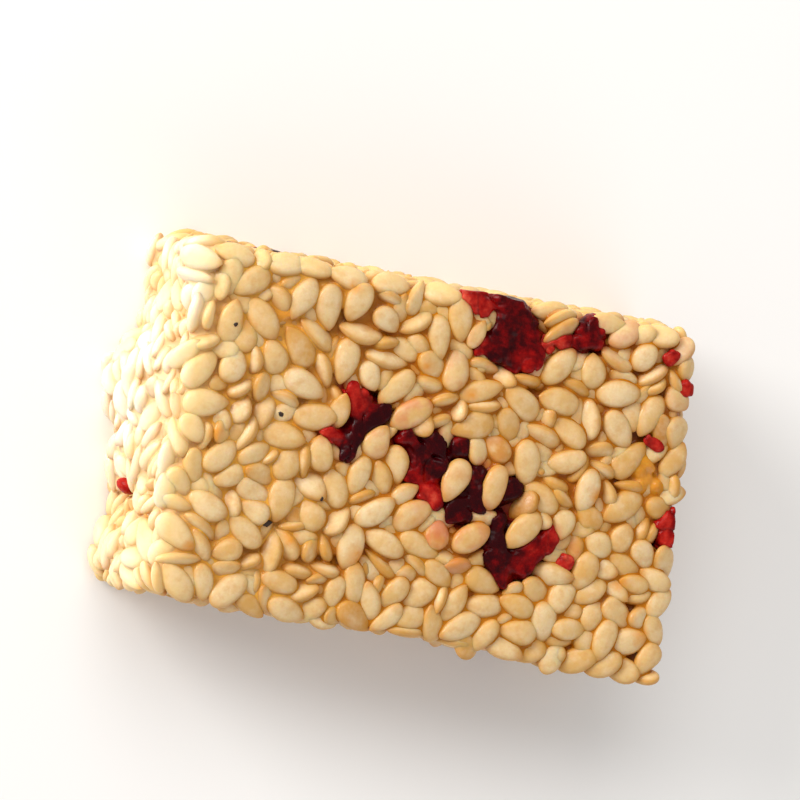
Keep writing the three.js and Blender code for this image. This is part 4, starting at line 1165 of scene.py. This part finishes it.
# the syrup between them; where its skin runs on inside a seed it is left off
step = np.cumsum([0] + [len(f[0]) for f in built])
all_points = np.concatenate([f[0] for f in built])
all_faces = [face for k, f in enumerate(built) for part in (f[1], f[2]) for face in (part + step[k]).tolist()]
tree = BVHTree.FromPolygons(all_points.tolist(), all_faces)
d_ = 0.05
slope = np.stack([
    from_dense(field, skin[0] + np.eye(3)[k] * d_) - from_dense(field, skin[0] - np.eye(3)[k] * d_) for k in range(3)
], 1)  # fmt: skip
slope /= np.maximum(np.linalg.norm(slope, axis=1), 1e-9)[:, None]
hidden = from_dense(field_seeds, skin[0]) < 0.02
for k in np.nonzero(hidden)[0]:
    way = Vector(slope[k])
    _, normal, _, far_ = tree.ray_cast(Vector(skin[0][k]), way, 1.2)
    hidden[k] = normal is not None and normal.dot(way) > 0 and far_ > 0.015
skin = (skin[0], skin[1], skin[2][~hidden[skin[2]].all(1)])
print(f"syrup: {len(skin[0])} points, {len(skin[2])} quads, {time.time() - began:.1f} s")
p = skin[0].astype(float)
p[:, 2] = np.maximum(p[:, 2], 0.01)
gap = np.clip(from_dense(field_seeds, p) / 0.45, 0, 1)
deep = np.clip(-from_dense(field_hull, p), 0, 1.5)
stain = np.clip(1 - berry_distance(p) / 0.7, 0, 1)
pale = painted_glare(p)
pool = pooled(p)
light = painted_left_light(p)
amber = syrup_material()
middle = p[skin[2]].mean(1)
high = middle[:, 2] > THICK - 2.2
side = ~high & (middle[:, 1] < SHIFT[1])
for name, faces in (("syrup_near", skin[2][side]), ("syrup_far", skin[2][~high & ~side]), ("syrup_upper", skin[2][high])):
    used = np.unique(faces)
    number = np.zeros(len(p), int)
    number[used] = np.arange(len(used))
    ob = write_mesh(name, p[used], number[faces], None, {"gap": gap[used], "deep": deep[used], "stain": stain[used], "pale": pale[used], "pool": pool[used], "light": light[used]})
    ob.data.materials.append(amber)
    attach(ob, "root")
    pieces.append(ob)
    print(f"{name}: {len(faces) * 2} triangles")
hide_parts("brittle")

# the cranberry pieces
red = berry_material()
for number, row in enumerate(BERRIES, 1):
    q, tris, quads, glow, fold_shade = berry_mesh(lobes_of(row), 100 + number * 7, grain=GRAIN if row[0] in LOBES else GRAIN_SIDE)
    ob = write_mesh(f"{row[0]}_skin", to_row(q), quads, tris, {"fold_shade": fold_shade, "thin": glow})
    ob.data.materials.append(red)
    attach(ob, "root")
    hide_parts(row[0])
    pieces.append(ob)
    print(f"{row[0]}: {len(quads) * 2 + len(tris)} triangles")
for number, (x, y, z, a, b, c, turn) in enumerate(BITS, 1):
    t = math.radians(turn)
    lobes = np.array([
        (x + k * a * 0.55 * math.cos(t), y + k * a * 0.55 * math.sin(t), z, (b + c) / 2, 1.0) for k in (-1, 0, 1)
    ])  # fmt: skip
    q, tris, quads, glow, fold_shade = berry_mesh(lobes, 400 + number * 7, 0.6, False)
    ob = write_mesh(f"cranberry_bit_{number}", to_row(q), quads, tris, {"fold_shade": fold_shade, "thin": glow})
    ob.data.materials.append(red)
    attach(ob, "root")
    pieces.append(ob)
scorch = Nodes("scorched_speck")
scorch.set(Base_Color=scorch.mix(scorch.noise(3.0, 2, 0.5), srgb(58, 32, 12), srgb(30, 16, 8)), Roughness=0.5)
q, t = seed_grid(6, 8)
r = np.random.default_rng(61)
forms = []
for x, y, a, b in SPECKS:
    column = np.stack([np.full(60, x), np.full(60, y), THICK + 0.6 - np.arange(60) * 0.03], 1)
    hit = np.nonzero(from_dense(np.minimum(field_seeds, field), to_row(column)) < 0)[0]
    top = column[hit[0], 2] if len(hit) else THICK - 0.3
    theta = np.linspace(0, math.pi, 8)
    ball = [(0, 0, 1)] + [
        (math.sin(u) * math.cos(v), math.sin(u) * math.sin(v), math.cos(u)) for u in theta[1:-1] for v in np.arange(8) * TAU / 8
    ] + [(0, 0, -1)]  # fmt: skip
    ball = np.array(ball) * (1 + r.normal(0, 0.16, (len(ball), 1))) * [a, b, 0.07]
    turn = turned(np.array([[0, 0, r.uniform(0, TAU)]]))[0]
    forms.append(to_row(ball @ turn.T + [x, y, top + 0.01]))
points, quads, tris = joined(np.array(forms), q, t)
ob = write_mesh("scorched_specks", points, quads, tris)
ob.data.materials.append(scorch.mat)
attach(ob, "root")
pieces.append(ob)
print(f"built in {time.time() - began:.1f} s")

# ---------------------------------------------------------------------------
# Floor, light and camera
# ---------------------------------------------------------------------------
scene = bpy.context.scene
scene.view_settings.view_transform = "Standard"

bpy.ops.mesh.primitive_plane_add(size=6.0, location=(0, 0, 0))
floor = bpy.context.object
floor.name = "floor"
f = Nodes("pale_floor")
f.set(Base_Color=f.mix(f.noise(0.01, 2, 0.5), (0.93, 0.925, 0.92), (0.95, 0.945, 0.94)), Roughness=0.6)
floor.data.materials.append(f.mat)

world = bpy.data.worlds.new("studio")
scene.world = world
world.use_nodes = True
world.node_tree.nodes["Background"].inputs["Color"].default_value = (1.0, 0.985, 0.965, 1)
world.node_tree.nodes["Background"].inputs["Strength"].default_value = 0.52


def area(name, direction, distance, size, power, colour):
    d = Vector(direction).normalized()
    light = bpy.data.lights.new(name, "AREA")
    light.shape = "DISK"
    light.size = size
    light.energy = power
    light.color = colour
    ob = bpy.data.objects.new(name, light)
    ob.location = d * distance + Vector((0, 0, 0.006))
    ob.rotation_euler = (-d).to_track_quat("-Z", "Y").to_euler()
    scene.collection.objects.link(ob)
    return ob


area("key", (-0.87, 0.38, 0.32), 0.70, 0.40, 4.8, (1.0, 0.97, 0.93))
area("back", (-0.30, 0.62, 0.72), 0.75, 0.50, 1.9, (1.0, 0.98, 0.95))
area("fill", (0.55, -0.70, 0.45), 0.9, 0.8, 1.4, (1.0, 0.98, 0.96))

# The camera looks from the photograph's side: from the left end, and down on the shown face.
TO_CAMERA = Vector((-0.36, 0.03, 0.932)).normalized()
ROLL = math.radians(10.62)
AIM = Vector((-2.781, 4.406, THICK)) * MM
DISTANCE = 0.55
SCALE = 5.04 * 2.6  # pixels per millimetre in a frame 800 pixels wide
right = Vector((1, 0, 0)) - TO_CAMERA * TO_CAMERA.x
right.normalize()
up = TO_CAMERA.cross(right)
# turn the picture so that the upper long edge falls to the right as in the photograph
right2 = right * math.cos(ROLL) + up * math.sin(ROLL)
up2 = -right * math.sin(ROLL) + up * math.cos(ROLL)
cam_data = bpy.data.cameras.new("camera")
cam = bpy.data.objects.new("camera", cam_data)
scene.collection.objects.link(cam)
m = Matrix((right2, up2, TO_CAMERA)).transposed().to_4x4()
m.translation = AIM + TO_CAMERA * DISTANCE
cam.matrix_world = m
cam_data.sensor_width = 36.0
cam_data.lens = SCALE * (DISTANCE / MM) * 36.0 / 800.0
cam_data.clip_start, cam_data.clip_end = 0.01, 20.0
scene.camera = cam
